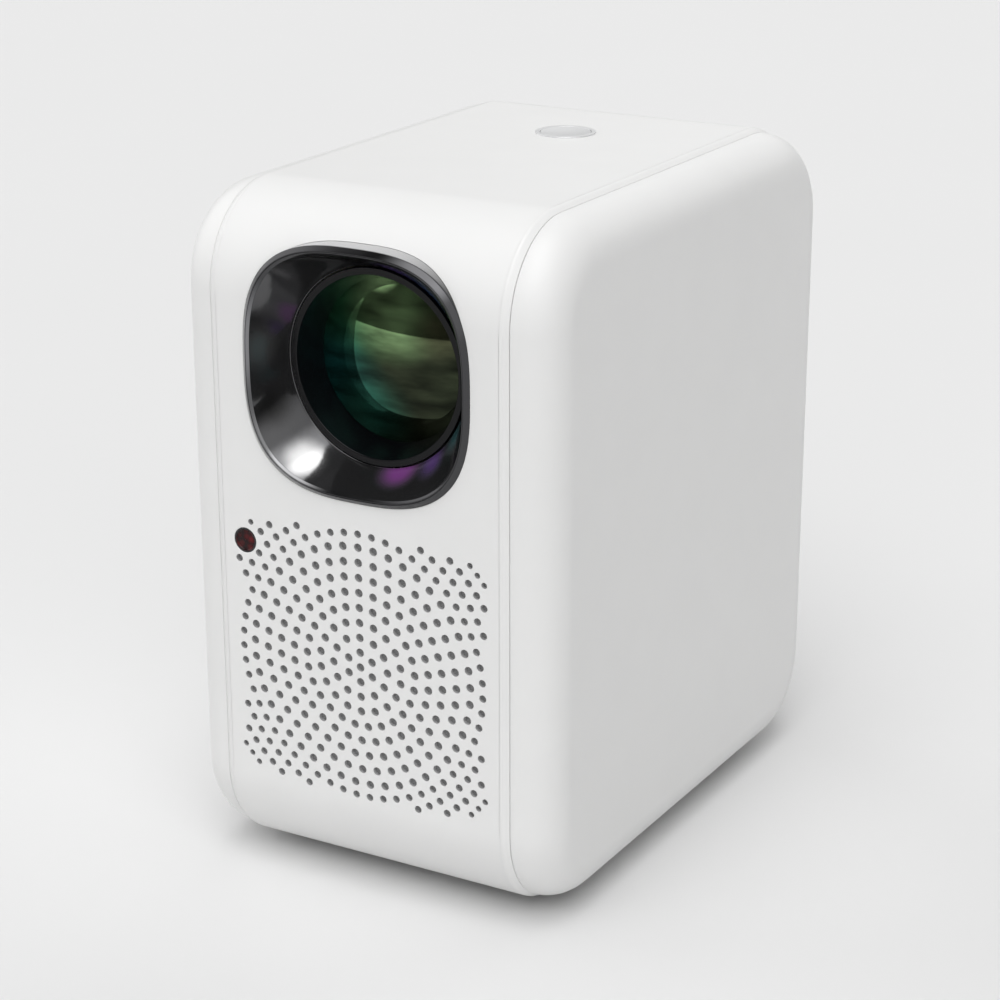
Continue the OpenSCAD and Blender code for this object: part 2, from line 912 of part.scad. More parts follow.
module reflector() {
    color("#e6e7e8")
        union() {
            difference() {
                block(-22, 22, engine_y - 22, engine_y + 22, 60.4, 62.4);
                translate([0, engine_y, 60])
                    cylinder(r = 16.5, h = 3);
            }
            difference() {
                hull() {
                    block(-18.2, 18.2, engine_y - 18.2, engine_y + 18.2, 62.4 - eps, 62.4);
                    block(-48.2, 48.2, engine_y - 29.2, engine_y + 29.2, 95 - eps, 95);
                }
                hull() {
                    block(-17, 17, engine_y - 17, engine_y + 17, 62.4 - 3 * eps, 62.4);
                    block(-47, 47, engine_y - 28, engine_y + 28, 95, 95 + eps);
                }
            }
        }
}

module condenser_lens() {
    dome_r = 20;
    color([0.85, 0.92, 0.95, 0.5])
        translate([0, engine_y, 0])
            union() {
                translate([0, 0, 60.4])
                    cylinder(r = 16.2, h = 2);
                intersection() {
                    translate([0, 0, 62.4 - eps])
                        cylinder(r = 15.8, h = 10);
                    translate([0, 0, 71 - dome_r])
                        sphere(dome_r);
                }
            }
}

module led_board() {
    color("#b87345")
        block(-20, 20, engine_y - 20, engine_y + 20, 56, 58.4);
}

module led_chip() {
    color("#e8c64a")
        union() {
            block(-12, 12, engine_y - 12, engine_y + 12, 58.4, 59.4);
            translate([0, engine_y, 59.3])
                cylinder(r = 9, h = 0.8);
        }
}

module heat_sink() {
    pitch = 5.8;
    color("#b4b7ba")
        difference() {
            union() {
                block(-42, 42, -12, 52, 50, 56);
                for (i = [-7 : 7])
                    block(i * pitch - 0.7, i * pitch + 0.7, -12, 52, 20, 50.1);
            }
            for (y = [6, 34])
                translate([-50, y, 43])
                    rotate([0, 90, 0])
                        cylinder(r = 3, h = 100);
        }
}

module heat_pipes() {
    color("#b87345")
        for (y = [6, 34])
            translate([-44, y, 43])
                rotate([0, 90, 0])
                    cylinder(r = 3, h = 88);
}

module engine_frame() {
    color("#3a3b3f")
        difference() {
            union() {
                block(-50, 50, -17, 57, 16, 19.6);
                for (x = [-40, 40])
                    for (y = [-12, 50])
                        translate([x, y, in_floor_z])
                            cylinder(r = 3, h = 16 - in_floor_z + 1);
                for (x = [-50, 46])
                    for (y = [-17, 51])
                        block(x, x + 4, y, y + 6, 19, box_z0);
            }
            block(-38, 38, -8, 48, 15, 21);
            for (x = [-40, 40])
                for (y = [-12, 50])
                    translate([x, y, in_floor_z - 1])
                        cylinder(r = 1.2, h = 8);
        }
}

module fan_frame() {
    strut = 3;
    back = fan_y + fan_t;
    color("#1d1e20")
        difference() {
            union() {
                difference() {
                    front_view(back, fan_z)
                        linear_extrude(height = fan_t)
                            round_rect(2 * fan_half, 2 * fan_half, 4);
                    bar_y(fan_bore_r, fan_y - 1, back + 1, 0, fan_z);
                }
                bar_y(14, back - strut, back, 0, fan_z);
                for (a = [45 : 90 : 315])
                    translate([0, 0, fan_z])
                        rotate([0, a, 0])
                            block(12, fan_bore_r + 1, back - strut, back, -1.8, 1.8);
            }
            bar_y(1.9, back - strut - 1, back - 0.6, 0, fan_z);
            for (x = [-30, 30])
                for (z = [-30, 30])
                    bar_y(1.8, fan_y - 1, back + 1, x, fan_z + z);
        }
}

module fan_rotor() {
    blade_y = fan_y + 5.6;
    color("#2a2b2e")
        union() {
            difference() {
                bar_y(hub_r, fan_y + 0.6, fan_y + 11.4, 0, fan_z);
                bar_y(hub_r - 1.5, fan_y + 2, fan_y + 12, 0, fan_z);
            }
            bar_y(1.5, fan_y + 1, fan_y + fan_t - 1.2, 0, fan_z);
            bar_y(11, fan_y + 1.5, fan_y + 10.4, 0, fan_z);
            intersection() {
                difference() {
                    bar_y(fan_bore_r - 0.9, fan_y + 0.8, fan_y + 11, 0, fan_z);
                    bar_y(hub_r - 0.8, fan_y, fan_y + 12, 0, fan_z);
                }
                translate([0, blade_y, fan_z])
                    for (k = [0 : blades - 1])
                        rotate([0, 360 * k / blades, 0])
                            rotate([38, 0, 0])
                                block(0, fan_bore_r, -8, 8, -0.6, 0.6);
            }
        }
}

module fan_duct() {
    color("#2b2c2f")
        difference() {
            front_view(duct_y, fan_z)
                linear_extrude(height = duct_y - fan_y - fan_t)
                    round_rect(2 * fan_half, 2 * fan_half, 4);
            block(-fan_half + 2, fan_half - 2, 70, 90, fan_z - fan_half + 2, fan_z + fan_half - 2);
        }
}

module board_bracket() {
    plate = 1.2;
    color("#c3c6c8")
        difference() {
            union() {
                block(-44, 44, box_rear_y, box_rear_y + plate, 102, 147);
                block(-44, 44, board_y0, board_y1, 146, 146 + plate);
                for (x = [-38, 38])
                    for (y = [board_y0 + 4, board_y1 - 4])
                        translate([x, y, 147])
                            cylinder(r = 3, h = board_z - 147);
            }
            for (x = [-38, 38])
                for (y = [board_y0 + 4, board_y1 - 4])
                    translate([x, y, 145])
                        cylinder(r = 1.2, h = 6);
            bar_y(6, 50, 60, -30, 118);
        }
}

module main_board() {
    color("#1f5a3a")
        difference() {
            union() {
                block(-board_x, board_x, board_y0, board_y1, board_z, board_z + board_t);
                block(-8, 8, 52, 68, board_z + 1, board_z + board_t + 1.2);
                for (x = [-26, -14])
                    block(x - 5, x + 5, 44, 52, board_z + 1, board_z + board_t + 1);
                for (x = [22, 32])
                    block(x - 3, x + 3, 44, 50, board_z + 1, board_z + board_t + 3);
            }
            for (x = [-38, 38])
                for (y = [board_y0 + 4, board_y1 - 4])
                    translate([x, y, board_z - 1])
                        cylinder(r = 1.6, h = 4);
        }
}

module chip_cooler() {
    color("#8e9296")
        union() {
            block(-13, 13, 48, 71, board_z + board_t + 1.2, board_z + board_t + 3.2);
            for (i = [-4 : 4])
                block(i * 3 - 0.5, i * 3 + 0.5, 48, 71, board_z + board_t + 3, board_z + board_t + 11);
        }
}

module hdmi_port() {
    color("#b9bcc0")
        union() {
            difference() {
                block(hdmi_x - 7.5, hdmi_x + 7.5, 76.5, port_end_y, port_z, port_z + 6);
                block(hdmi_x - 7, hdmi_x + 7, 79, port_end_y + 1, port_z + 0.5, port_z + 5.5);
            }
            block(hdmi_x - 5.5, hdmi_x + 5.5, 78, port_end_y - 1.5, port_z + 2.4, port_z + 3.4);
        }
}

module usb_port() {
    color("#b9bcc0")
        union() {
            difference() {
                block(usb_x - 7.2, usb_x + 7.2, 74.5, port_end_y, port_z, port_z + 7.2);
                block(usb_x - 6.6, usb_x + 6.6, 77, port_end_y + 1, port_z + 0.6, port_z + 6.6);
            }
            block(usb_x - 5.7, usb_x + 5.7, 76, port_end_y - 1, port_z + 3.6, port_z + 5.4);
        }
}

module audio_jack() {
    color("#232427")
        difference() {
            union() {
                block(jack_x - 3.2, jack_x + 3.2, 72.5, 84, port_z, port_z + 6.4);
                bar_y(3, 83, port_end_y, jack_x, jack_z);
            }
            bar_y(1.8, port_end_y - 14, port_end_y + 1, jack_x, jack_z);
        }
}

module power_board() {
    color("#8a6a35")
        difference() {
            block(-42, 42, power_board_y, power_board_y + 1.6, 14, 108);
            for (x = [-26, 26])
                for (z = [grille_z - 26, grille_z + 26])
                    bar_y(1.4, power_board_y - 1, power_board_y + 3, x, z);
        }
}

module power_components() {
    base_y = power_board_y + 1.6;
    color("#d3b13c")
        union() {
            block(-14, 14, base_y, base_y + 17, 62, 88);
            block(-18, 18, base_y, base_y + 12, 68, 82);
        }
    color("#26272b") {
        bar_y(7.5, base_y, base_y + 19, -30, 66);
        bar_y(5, base_y, base_y + 16, 28, 86);
        bar_y(5, base_y, base_y + 16, 28, 66);
    }
    color("#9fa3a6")
        block(-34, -31, base_y, base_y + 16, 82, 106);
    color("#b06a3a")
        bar_y(8, base_y, base_y + 10, 6, 34);
    color("#3566a0")
        block(-28, -12, base_y, base_y + 9, 26, 40);
}

module inlet_shape(r, half) {
    for (s = [-1, 1])
        translate([s * half, 0])
            circle(r);
    square([2 * half, 1.9 * r], center = true);
}

module power_inlet() {
    color("#18191b")
        difference() {
            union() {
                block(inlet_x - 10, inlet_x + 10, 68, port_end_y + 0.8, inlet_z - 6, inlet_z + 6);
                block(inlet_x - 12, inlet_x + 12, 83, in_rear_y, inlet_z - 8, inlet_z + 8);
            }
            translate([inlet_x, 0, 0])
                front_view(port_end_y + 2, inlet_z)
                    linear_extrude(height = 16)
                        inlet_shape(4.3, 4.2);
        }
    color("#c8cacd")
        for (s = [-1, 1])
            bar_y(1.2, 72, port_end_y - 2, inlet_x + s * 4.3, inlet_z);
}

module ir_receiver() {
    color("#1c1d20")
        union() {
            block(ir_x - 3, ir_x + 3, -84, -80, ir_z - 3.6, ir_z + 3.6);
            block(ir_x - 4.4, -box_half, -80, -78.8, ir_z - 6, ir_z + 6);
        }
}

module key_board() {
    color("#1f5a3a")
        translate([0, button_back, 188.6])
            cube([26, 14, 1.2], center = true);
}

module key_switch() {
    color("#2c2d30")
        translate([0, button_back, 0])
            union() {
                block(-3, 3, -3, 3, 189.2, 192.6);
                translate([0, 0, 192.5])
                    cylinder(r = 1.7, h = 0.8);
            }
}

band_shell();
left_panel();
right_panel();
rear_panel();
rubber_feet();
tripod_insert();
case_screws();
lens_bezel();
lens_funnel();
ir_window();
button_ring();
power_button();
grille_mesh();
speaker_gasket();
speaker_box();
speaker_basket();
speaker_magnet();
speaker_cone();
speaker_surround();
voice_coil();
lens_front_ring();
lens_barrel();
front_element();
middle_element();
rear_element();
focus_ring();
focus_pinion();
focus_motor();
lens_holder();
mirror_box();
fold_mirror();
field_fresnel();
lcd_panel();
polariser();
collimator_fresnel();
light_box();
reflector();
condenser_lens();
led_board();
led_chip();
heat_sink();
heat_pipes();
engine_frame();
fan_frame();
fan_rotor();
fan_duct();
board_bracket();
main_board();
chip_cooler();
hdmi_port();
usb_port();
audio_jack();
power_board();
power_components();
power_inlet();
ir_receiver();
key_board();
key_switch();
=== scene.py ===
import json
import math
import bpy
import numpy as np
from mathutils import Matrix, Vector
from mathutils.geometry import delaunay_2d_cdt


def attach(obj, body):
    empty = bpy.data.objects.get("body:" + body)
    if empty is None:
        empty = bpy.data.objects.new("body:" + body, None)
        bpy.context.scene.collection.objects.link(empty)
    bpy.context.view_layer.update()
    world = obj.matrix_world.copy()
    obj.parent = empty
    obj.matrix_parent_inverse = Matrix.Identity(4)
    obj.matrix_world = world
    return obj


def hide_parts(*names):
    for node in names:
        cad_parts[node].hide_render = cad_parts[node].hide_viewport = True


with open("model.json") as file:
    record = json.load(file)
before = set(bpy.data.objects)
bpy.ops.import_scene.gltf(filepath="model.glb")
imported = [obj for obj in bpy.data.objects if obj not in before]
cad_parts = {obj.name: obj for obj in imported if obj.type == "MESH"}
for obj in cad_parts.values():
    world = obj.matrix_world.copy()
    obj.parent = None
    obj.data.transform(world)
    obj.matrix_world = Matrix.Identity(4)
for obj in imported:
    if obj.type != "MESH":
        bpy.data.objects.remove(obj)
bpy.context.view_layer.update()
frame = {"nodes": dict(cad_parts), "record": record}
nodes = frame["nodes"]

# ---------------------------------------------------------------- sizes, in millimetres
MM = 0.001
FRONT, BACK, FLOOR, TOP = -89.0, 89.0, 2.0, 202.0  # faces of the casing
MIDZ = (FLOOR + TOP) / 2
DEPTH, HEIGHT = BACK - FRONT, TOP - FLOOR
R = 28.5  # big rounding of the casing, seen from the side
ARC = math.pi / 2 * R
ROUND_STEPS = 20
WALL = 2.4
BAND = 47.25  # half width of the wrap, up to its seams
EDGE, DROP = 1.8, 1.2  # width and depth of the wrap's sloped rim
SIDE = 60.0  # half width over the side covers
COVER_R = 12.5  # rounding of the side covers
LENS_Z = 155.8
GRILLE_Z, GRILLE_HALF = 71.8, 40.2
IR, IR_R = (-37.8, 102.9), 3.6  # infrared window: its centre (x, z) and radius
KEY = (0, 29)  # power key: its centre (x, y)
KEY_R, KEY_HOLE_R, COLLAR_R = 7.6, 7.72, 9.1
REAR_W, REAR_H, REAR_CORNER = 80, 132, 6  # opening of the back cover
FOOT_X, FOOT_Y = 34, 47
BEZEL_HALF = 36.1  # half width of the ring round the lens opening
RIM_R = 27.9  # front rim of the focusing barrel
DOME_R, GLASS_R, GLASS_Y = 62, 23.3, -68.5  # front glass: its curvature, visible radius and edge

# ---------------------------------------------------------------- camera
cam_data = bpy.data.cameras.new("camera")
cam = bpy.data.objects.new("camera", cam_data)
bpy.context.scene.collection.objects.link(cam)
cam_data.lens = 94.37
cam_data.sensor_width = 36
cam_data.shift_y = 0.0382
cam_data.clip_start = 0.05
cam_data.clip_end = 60
cam_data.dof.use_dof = False
azim, elev, roll, dist = (math.radians(29.97), math.radians(19.95), math.radians(-0.13), 0.8038)
target = Vector((-0.00621, 0, 0.08104))
away = Vector((math.cos(elev) * math.sin(azim), -math.cos(elev) * math.cos(azim), math.sin(elev)))
cam.location = target + away * dist
cam.rotation_mode = "QUATERNION"
cam.rotation_quaternion = (-away).to_track_quat("-Z", "Y") @ Matrix.Rotation(roll, 3, "Z").to_quaternion()
bpy.context.scene.camera = cam
bpy.context.scene.view_settings.view_transform = "Standard"
bpy.context.scene.view_settings.look = "None"

# ---------------------------------------------------------------- node materials


def socket(shader, name, value):
    shader.inputs[name].default_value = value


def coords(tree, scale=(1, 1, 1)):
    tex = tree.nodes.new("ShaderNodeTexCoord")
    mapping = tree.nodes.new("ShaderNodeMapping")
    mapping.inputs["Scale"].default_value = scale
    tree.links.new(tex.outputs["Object"], mapping.inputs["Vector"])
    return mapping.outputs["Vector"]


def noise(tree, vector, scale, detail=3.0, rough=0.5):
    n = tree.nodes.new("ShaderNodeTexNoise")
    n.inputs["Scale"].default_value = scale
    n.inputs["Detail"].default_value = detail
    n.inputs["Roughness"].default_value = rough
    tree.links.new(vector, n.inputs["Vector"])
    return n.outputs["Fac"]


def spread(tree, fac, low, high, lo_in=0.3, hi_in=0.7):
    m = tree.nodes.new("ShaderNodeMapRange")
    m.inputs["From Min"].default_value = lo_in
    m.inputs["From Max"].default_value = hi_in
    m.inputs["To Min"].default_value = low
    m.inputs["To Max"].default_value = high
    tree.links.new(fac, m.inputs["Value"])
    return m.outputs["Result"]


def ramp(tree, fac, stops):
    r = tree.nodes.new("ShaderNodeValToRGB")
    while len(r.color_ramp.elements) < len(stops):
        r.color_ramp.elements.new(0.5)
    for e, (p, c) in zip(r.color_ramp.elements, stops):
        e.position = p
        e.color = (*c, 1)
    tree.links.new(fac, r.inputs["Fac"])
    return r.outputs["Color"]


def fade(tree, value, low, high):
    """0 at low and 1 at high, both in millimetres on the object."""
    m = tree.nodes.new("ShaderNodeMapRange")
    m.inputs["From Min"].default_value = low * MM
    m.inputs["From Max"].default_value = high * MM
    tree.links.new(value, m.inputs["Value"])
    return m.outputs["Result"]


def calc(tree, operation, *values):
    """A Math node on sockets."""
    n = tree.nodes.new("ShaderNodeMath")
    n.operation = operation
    for place, value in zip(n.inputs, values):
        tree.links.new(value, place)
    return n.outputs[0]


def bump(tree, height, strength, distance, normal=None):
    b = tree.nodes.new("ShaderNodeBump")
    b.inputs["Strength"].default_value = strength
    b.inputs["Distance"].default_value = distance
    tree.links.new(height, b.inputs["Height"])
    if normal:
        tree.links.new(normal, b.inputs["Normal"])
    return b.outputs["Normal"]


def shader_material(name):
    m = bpy.data.materials.new(name)
    m.use_nodes = True
    return m, m.node_tree, m.node_tree.nodes["Principled BSDF"]


def finish_of(name, color, rough, metal=0.0, grain=900, depth=0.00002, strength=0.25, vary=0.04,
              rough_vary=0.06, stretch=(1, 1, 1), coat=0.0, coat_rough=0.1, edge=0.0, ior=1.5, spec=0.5):
    """A moulded, cast or drawn surface: fine grain, slight colour and gloss variation, softened edges."""
    m, t, s = shader_material(name)
    v = coords(t, stretch)
    cloud = noise(t, v, 60, 2)
    fine = noise(t, v, grain, 4, 0.6)
    dark = tuple(max(0.0, c * (1 - vary)) for c in color)
    light = tuple(min(1.0, c * (1 + vary)) for c in color)
    t.links.new(ramp(t, cloud, [(0.3, dark), (0.7, light)]), s.inputs["Base Color"])
    t.links.new(spread(t, fine, max(0.02, rough - rough_vary), rough + rough_vary), s.inputs["Roughness"])
    normal = None
    if edge:
        b = t.nodes.new("ShaderNodeBevel")
        b.samples = 4
        b.inputs["Radius"].default_value = edge
        normal = b.outputs["Normal"]
    t.links.new(bump(t, fine, strength, depth, normal), s.inputs["Normal"])
    socket(s, "Metallic", metal)
    socket(s, "IOR", ior)
    socket(s, "Specular IOR Level", spec)
    if coat:
        socket(s, "Coat Weight", coat)
        socket(s, "Coat Roughness", coat_rough)
    return m


WHITE = (0.80, 0.80, 0.795)
M = {
    "shell_white": finish_of("shell_white", WHITE, 0.42, grain=1400, depth=0.000006, strength=0.2, vary=0.006,
                             rough_vary=0.03),
    "rear_plastic": finish_of("rear_plastic", (0.74, 0.74, 0.735), 0.5, grain=1500, depth=0.00002, strength=0.35,
                              vary=0.012, edge=0.0003),
    "foot_rubber": finish_of("foot_rubber", (0.03, 0.03, 0.03), 0.75, grain=700, depth=0.00005, strength=0.5),
    "brass_insert": finish_of("brass_insert", (0.62, 0.43, 0.16), 0.28, 1.0, 500, stretch=(1, 1, 6), edge=0.0002),
    "screw_steel": finish_of("screw_steel", (0.055, 0.055, 0.06), 0.32, 1.0, 900, edge=0.00015),
    "button_silver": finish_of("button_silver", (0.74, 0.745, 0.75), 0.34, 0.35, 1800, depth=0.000004, strength=0.2,
                               vary=0.01, rough_vary=0.04),
    "foam": finish_of("foam", (0.02, 0.02, 0.02), 0.9, grain=1500, depth=0.0002, strength=0.7),
    "black_plastic": finish_of("black_plastic", (0.018, 0.018, 0.02), 0.5, grain=1300, depth=0.00003, edge=0.0002),
    "basket_steel": finish_of("basket_steel", (0.03, 0.03, 0.032), 0.4, 0.3, 900, edge=0.0002),
    "magnet_ferrite": finish_of("magnet_ferrite", (0.03, 0.03, 0.033), 0.6, grain=700, depth=0.00004, edge=0.0003),
    "cone_paper": finish_of("cone_paper", (0.012, 0.012, 0.013), 0.8, grain=500, depth=0.0001, strength=0.6),
    "surround_rubber": finish_of("surround_rubber", (0.010, 0.010, 0.010), 0.45, grain=900),
    "coil_copper": finish_of("coil_copper", (0.55, 0.20, 0.08), 0.3, 1.0, 300, stretch=(1, 30, 1), strength=0.5),
    "barrel_black": finish_of("barrel_black", (0.003, 0.003, 0.004), 0.22, grain=1500, depth=0.000005, strength=0.15,
                              rough_vary=0.05, spec=0.22),
    "gear_acetal": finish_of("gear_acetal", (0.56, 0.53, 0.44), 0.4, grain=700, edge=0.0001),
    "motor_steel": finish_of("motor_steel", (0.42, 0.43, 0.45), 0.3, 1.0, 400, stretch=(1, 12, 1), edge=0.0002),
    "mirror_glass": finish_of("mirror_glass", (0.9, 0.9, 0.9), 0.02, 1.0, 90, strength=0.02, rough_vary=0.01),
    "reflector_white": finish_of("reflector_white", (0.8, 0.8, 0.8), 0.2, 0.5, 300),
    "copper": finish_of("copper", (0.68, 0.30, 0.17), 0.32, 1.0, 500, stretch=(1, 1, 8), vary=0.12, edge=0.0002),
    "phosphor": finish_of("phosphor", (0.80, 0.55, 0.05), 0.35, grain=900, vary=0.08),
    "aluminium": finish_of("aluminium", (0.62, 0.63, 0.64), 0.36, 1.0, 400, stretch=(1, 14, 1), edge=0.0002),
    "sheet_steel": finish_of("sheet_steel", (0.52, 0.53, 0.54), 0.34, 1.0, 300, stretch=(12, 1, 1), edge=0.0002),
    "board_green": finish_of("board_green", (0.01, 0.09, 0.035), 0.32, grain=600, vary=0.15, coat=0.4),
    "board_tan": finish_of("board_tan", (0.32, 0.19, 0.07), 0.6, grain=500, vary=0.10),
    "power_parts": finish_of("power_parts", (0.42, 0.30, 0.05), 0.4, grain=400, vary=0.25, edge=0.0003),
    "connector_steel": finish_of("connector_steel", (0.58, 0.59, 0.60), 0.25, 1.0, 500, edge=0.0001),
    "socket_black": finish_of("socket_black", (0.012, 0.012, 0.012), 0.45, grain=1200, edge=0.0002),
    "fresnel": finish_of("fresnel", (0.55, 0.60, 0.66), 0.12, grain=400, stretch=(1, 1, 20), strength=0.5, coat=0.5),
    "lcd": finish_of("lcd", (0.02, 0.025, 0.035), 0.10, grain=3000, coat=0.8),
    "polariser_glass": finish_of("polariser_glass", (0.12, 0.13, 0.15), 0.08, grain=300, coat=0.6),
}


def cloth_material():
    """Grey woven cloth behind the sound holes."""
    m, t, s = shader_material("mesh_cloth")
    v = coords(t)
    waves = []
    for axis in ("X", "Z"):
        w = t.nodes.new("ShaderNodeTexWave")
        w.bands_direction = axis
        w.inputs["Scale"].default_value = 700
        w.inputs["Distortion"].default_value = 0.4
        t.links.new(v, w.inputs["Vector"])
        waves.append(w.outputs["Fac"])
    weave = calc(t, "MULTIPLY", *waves)
    t.links.new(ramp(t, weave, [(0.0, (0.20, 0.20, 0.20)), (0.6, (0.38, 0.38, 0.385))]), s.inputs["Base Color"])
    t.links.new(bump(t, weave, 0.5, 0.0001), s.inputs["Normal"])
    socket(s, "Roughness", 0.85)
    return m


def ir_material():
    """Dark red window with moulded facets behind its surface."""
    m, t, s = shader_material("ir_plastic")
    v = coords(t)
    cells = t.nodes.new("ShaderNodeTexVoronoi")
    cells.inputs["Scale"].default_value = 420
    t.links.new(v, cells.inputs["Vector"])
    t.links.new(ramp(t, cells.outputs["Distance"], [(0.1, (0.11, 0.004, 0.006)), (0.6, (0.014, 0.0015, 0.002))]),
                s.inputs["Base Color"])
    t.links.new(bump(t, cells.outputs["Distance"], 0.25, 0.0003), s.inputs["Normal"])
    socket(s, "Roughness", 0.22)
    socket(s, "Specular IOR Level", 0.25)
    return m


def blob(tree, point, near, far):
    """1 within near of a point on the object, fading to 0 at far, all in millimetres."""
    tex = tree.nodes.new("ShaderNodeTexCoord")
    d = tree.nodes.new("ShaderNodeVectorMath")
    d.operation = "DISTANCE"
    d.inputs[1].default_value = tuple(c * MM for c in point)
    tree.links.new(tex.outputs["Object"], d.inputs[0])
    m = tree.nodes.new("ShaderNodeMapRange")
    m.interpolation_type = "SMOOTHSTEP"
    m.inputs["From Min"].default_value = near * MM
    m.inputs["From Max"].default_value = far * MM
    m.inputs["To Min"].default_value = 1.0
    m.inputs["To Max"].default_value = 0.0
    tree.links.new(d.outputs["Value"], m.inputs["Value"])
    return m.outputs["Result"]


def tinted(tree, base, zones):
    """A base colour with soft zones of other colours: (point, near, far, colour), later ones on top."""
    color = None
    for point, near, far, tone in zones:
        mix = tree.nodes.new("ShaderNodeMixRGB")
        tree.links.new(blob(tree, point, near, far), mix.inputs["Fac"])
        if color is None:
            mix.inputs["Color1"].default_value = (*base, 1)
        else:
            tree.links.new(color, mix.inputs["Color1"])
        mix.inputs["Color2"].default_value = (*tone, 1)
        color = mix.outputs["Color"]
    return color


def glass_with_painted_reflections(name, z):
    """Dark coated glass with reflections painted in by position: green above, a bright green one at the top, teal at
    the lower left and olive to the right.
    """
    m, t, s = shader_material(name)
    # Painted reflections: each zone sets the glass's reflectance by position. The bright green one at the top stands
    # in for a reflection of the light above.
    zones = [((-20, -70, z + 14), 4, 26, (0.028, 0.130, 0.055)),
             ((-22, -70, z - 8), 4, 24, (0.010, 0.085, 0.080)),
             ((-8, -72, z - 16), 2, 18, (0.016, 0.080, 0.055)),
             ((2, -72, z + 19), 3, 21, (0.260, 0.420, 0.190)),
             ((16, -72, z + 12), 1, 12, (0.080, 0.085, 0.045))]
    tint_and_painted_reflection = tinted(t, (0.020, 0.025, 0.014), zones)
    streaks = spread(t, noise(t, coords(t, (0.6, 1, 2.2)), 110, 3), 0.45, 1.9)
    mul = t.nodes.new("ShaderNodeVectorMath")
    mul.operation = "SCALE"
    t.links.new(tint_and_painted_reflection, mul.inputs[0])
    t.links.new(streaks, mul.inputs["Scale"])
    t.links.new(mul.outputs["Vector"], s.inputs["Base Color"])
    t.links.new(spread(t, noise(t, coords(t), 120, 2), 0.03, 0.06), s.inputs["Roughness"])
    socket(s, "Metallic", 0.85)
    socket(s, "Specular Tint", (0.55, 0.60, 0.60, 1))
    return m


def plated(name, base, zones, metal, low, high, wave=0.0, soft=0):
    """Polished dark plating with soft zones of other tones, which paint reflections and highlights on it. The last
    soft zones are satin instead of polished.
    """
    m, t, s = shader_material(name)
    t.links.new(tinted(t, base, zones), s.inputs["Base Color"])
    v = coords(t)
    t.links.new(spread(t, noise(t, v, 80, 3), low, high), s.inputs["Roughness"])
    if wave:
        t.links.new(bump(t, noise(t, v, 130, 2), wave, 0.0003), s.inputs["Normal"])
    socket(s, "Metallic", metal)
    if soft:
        satin = [(point, near, far, (0.2, 0.2, 0.2)) for point, near, far, colour in zones[-soft:]]
        t.links.new(tinted(t, (metal, metal, metal), satin), s.inputs["Metallic"])
    return m


def funnel_material(z):
    """Polished black plating with painted reflections: lighter and darker patches at the left, and faint purple,
    blue and teal painted at the upper and lower right where the coated glass's tinted reflections would fall.
    """
    # Painted reflections: the first three zones paint lighter and darker patches at the left. The last six paint
    # purple, blue and teal reflections and are satin so their colour shows.
    zones = [((-34, -86, z + 4), 1, 9, (0.30, 0.30, 0.30)),
             ((-31, -84, z - 14), 1, 8, (0.05, 0.05, 0.05)),
             ((-20, -84, z - 28), 2, 8, (0.35, 0.35, 0.35)),
             ((10, -80, z + 31), 2, 12, (0.10, 0.06, 0.22)),
             ((21, -80, z + 26), 2, 12, (0.05, 0.10, 0.24)),
             ((30, -80, z + 16), 2, 11, (0.03, 0.14, 0.15)),
             ((8, -78, z - 29), 2, 9, (0.22, 0.06, 0.26)),
             ((20, -78, z - 25), 1, 8, (0.12, 0.05, 0.24)),
             ((28, -78, z - 16), 1, 8, (0.03, 0.12, 0.13))]
    return plated("funnel_gloss", (0.10, 0.10, 0.103), zones, 0.85, 0.06, 0.12, 0.2, 6)


def bevel_material(z):
    """Polished inner edge of the outer ring, with painted highlights that make it brighter at its lower left and at
    its left.
    """
    zones = [((-26, -88, z - 26), 6, 24, (0.20, 0.20, 0.205)),
             ((-34, -88, z + 6), 4, 20, (0.24, 0.24, 0.25))]
    return plated("bezel_bevel", (0.075, 0.075, 0.078), zones, 1.0, 0.12, 0.18)


def bezel_material(z):
    """Dark plating of the outer ring, with painted highlights: lighter above and a little lighter at the left."""
    zones = [((0, -88, z + 44), 14, 40, (0.62, 0.62, 0.63)),
             ((-44, -88, z - 2), 4, 22, (0.22, 0.22, 0.23))]
    return plated("bezel_chrome", (0.045, 0.045, 0.047), zones, 1.0, 0.16, 0.24)


def wrap_material():
    """The casing's white, with painted shade that turns the sound holes' walls grey a little below the surface."""
    m = finish_of("wrap_white", WHITE, 0.42, grain=1400, depth=0.000006, strength=0.2, vary=0.006, rough_vary=0.03)
    t = m.node_tree
    s = t.nodes["Principled BSDF"]
    tex = t.nodes.new("ShaderNodeTexCoord")
    xyz = t.nodes.new("ShaderNodeSeparateXYZ")
    t.links.new(tex.outputs["Object"], xyz.inputs["Vector"])
    # Painted shade in the holes: a mask of the hole walls from 0.35 to 2.0 mm deep, fading at both ends, within the
    # grille's region.
    inner = fade(t, calc(t, "ABSOLUTE", xyz.outputs["X"]), 42.5, 42.0)
    for axis, low, high in (("Y", FRONT + 0.12, FRONT + 0.35), ("Y", FRONT + 2.2, FRONT + 2.0), ("Z", 114.5, 114.0),
                            ("Z", 29.8, 30.6)):
        inner = calc(t, "MULTIPLY", inner, fade(t, xyz.outputs[axis], low, high))
    mix = t.nodes.new("ShaderNodeMixRGB")
    t.links.new(inner, mix.inputs["Fac"])
    t.links.new(s.inputs["Base Color"].links[0].from_socket, mix.inputs["Color1"])
    # Grey of the painted shade on the hole walls.
    mix.inputs["Color2"].default_value = (0.42, 0.42, 0.425, 1)
    t.links.new(mix.outputs["Color"], s.inputs["Base Color"])
    return m


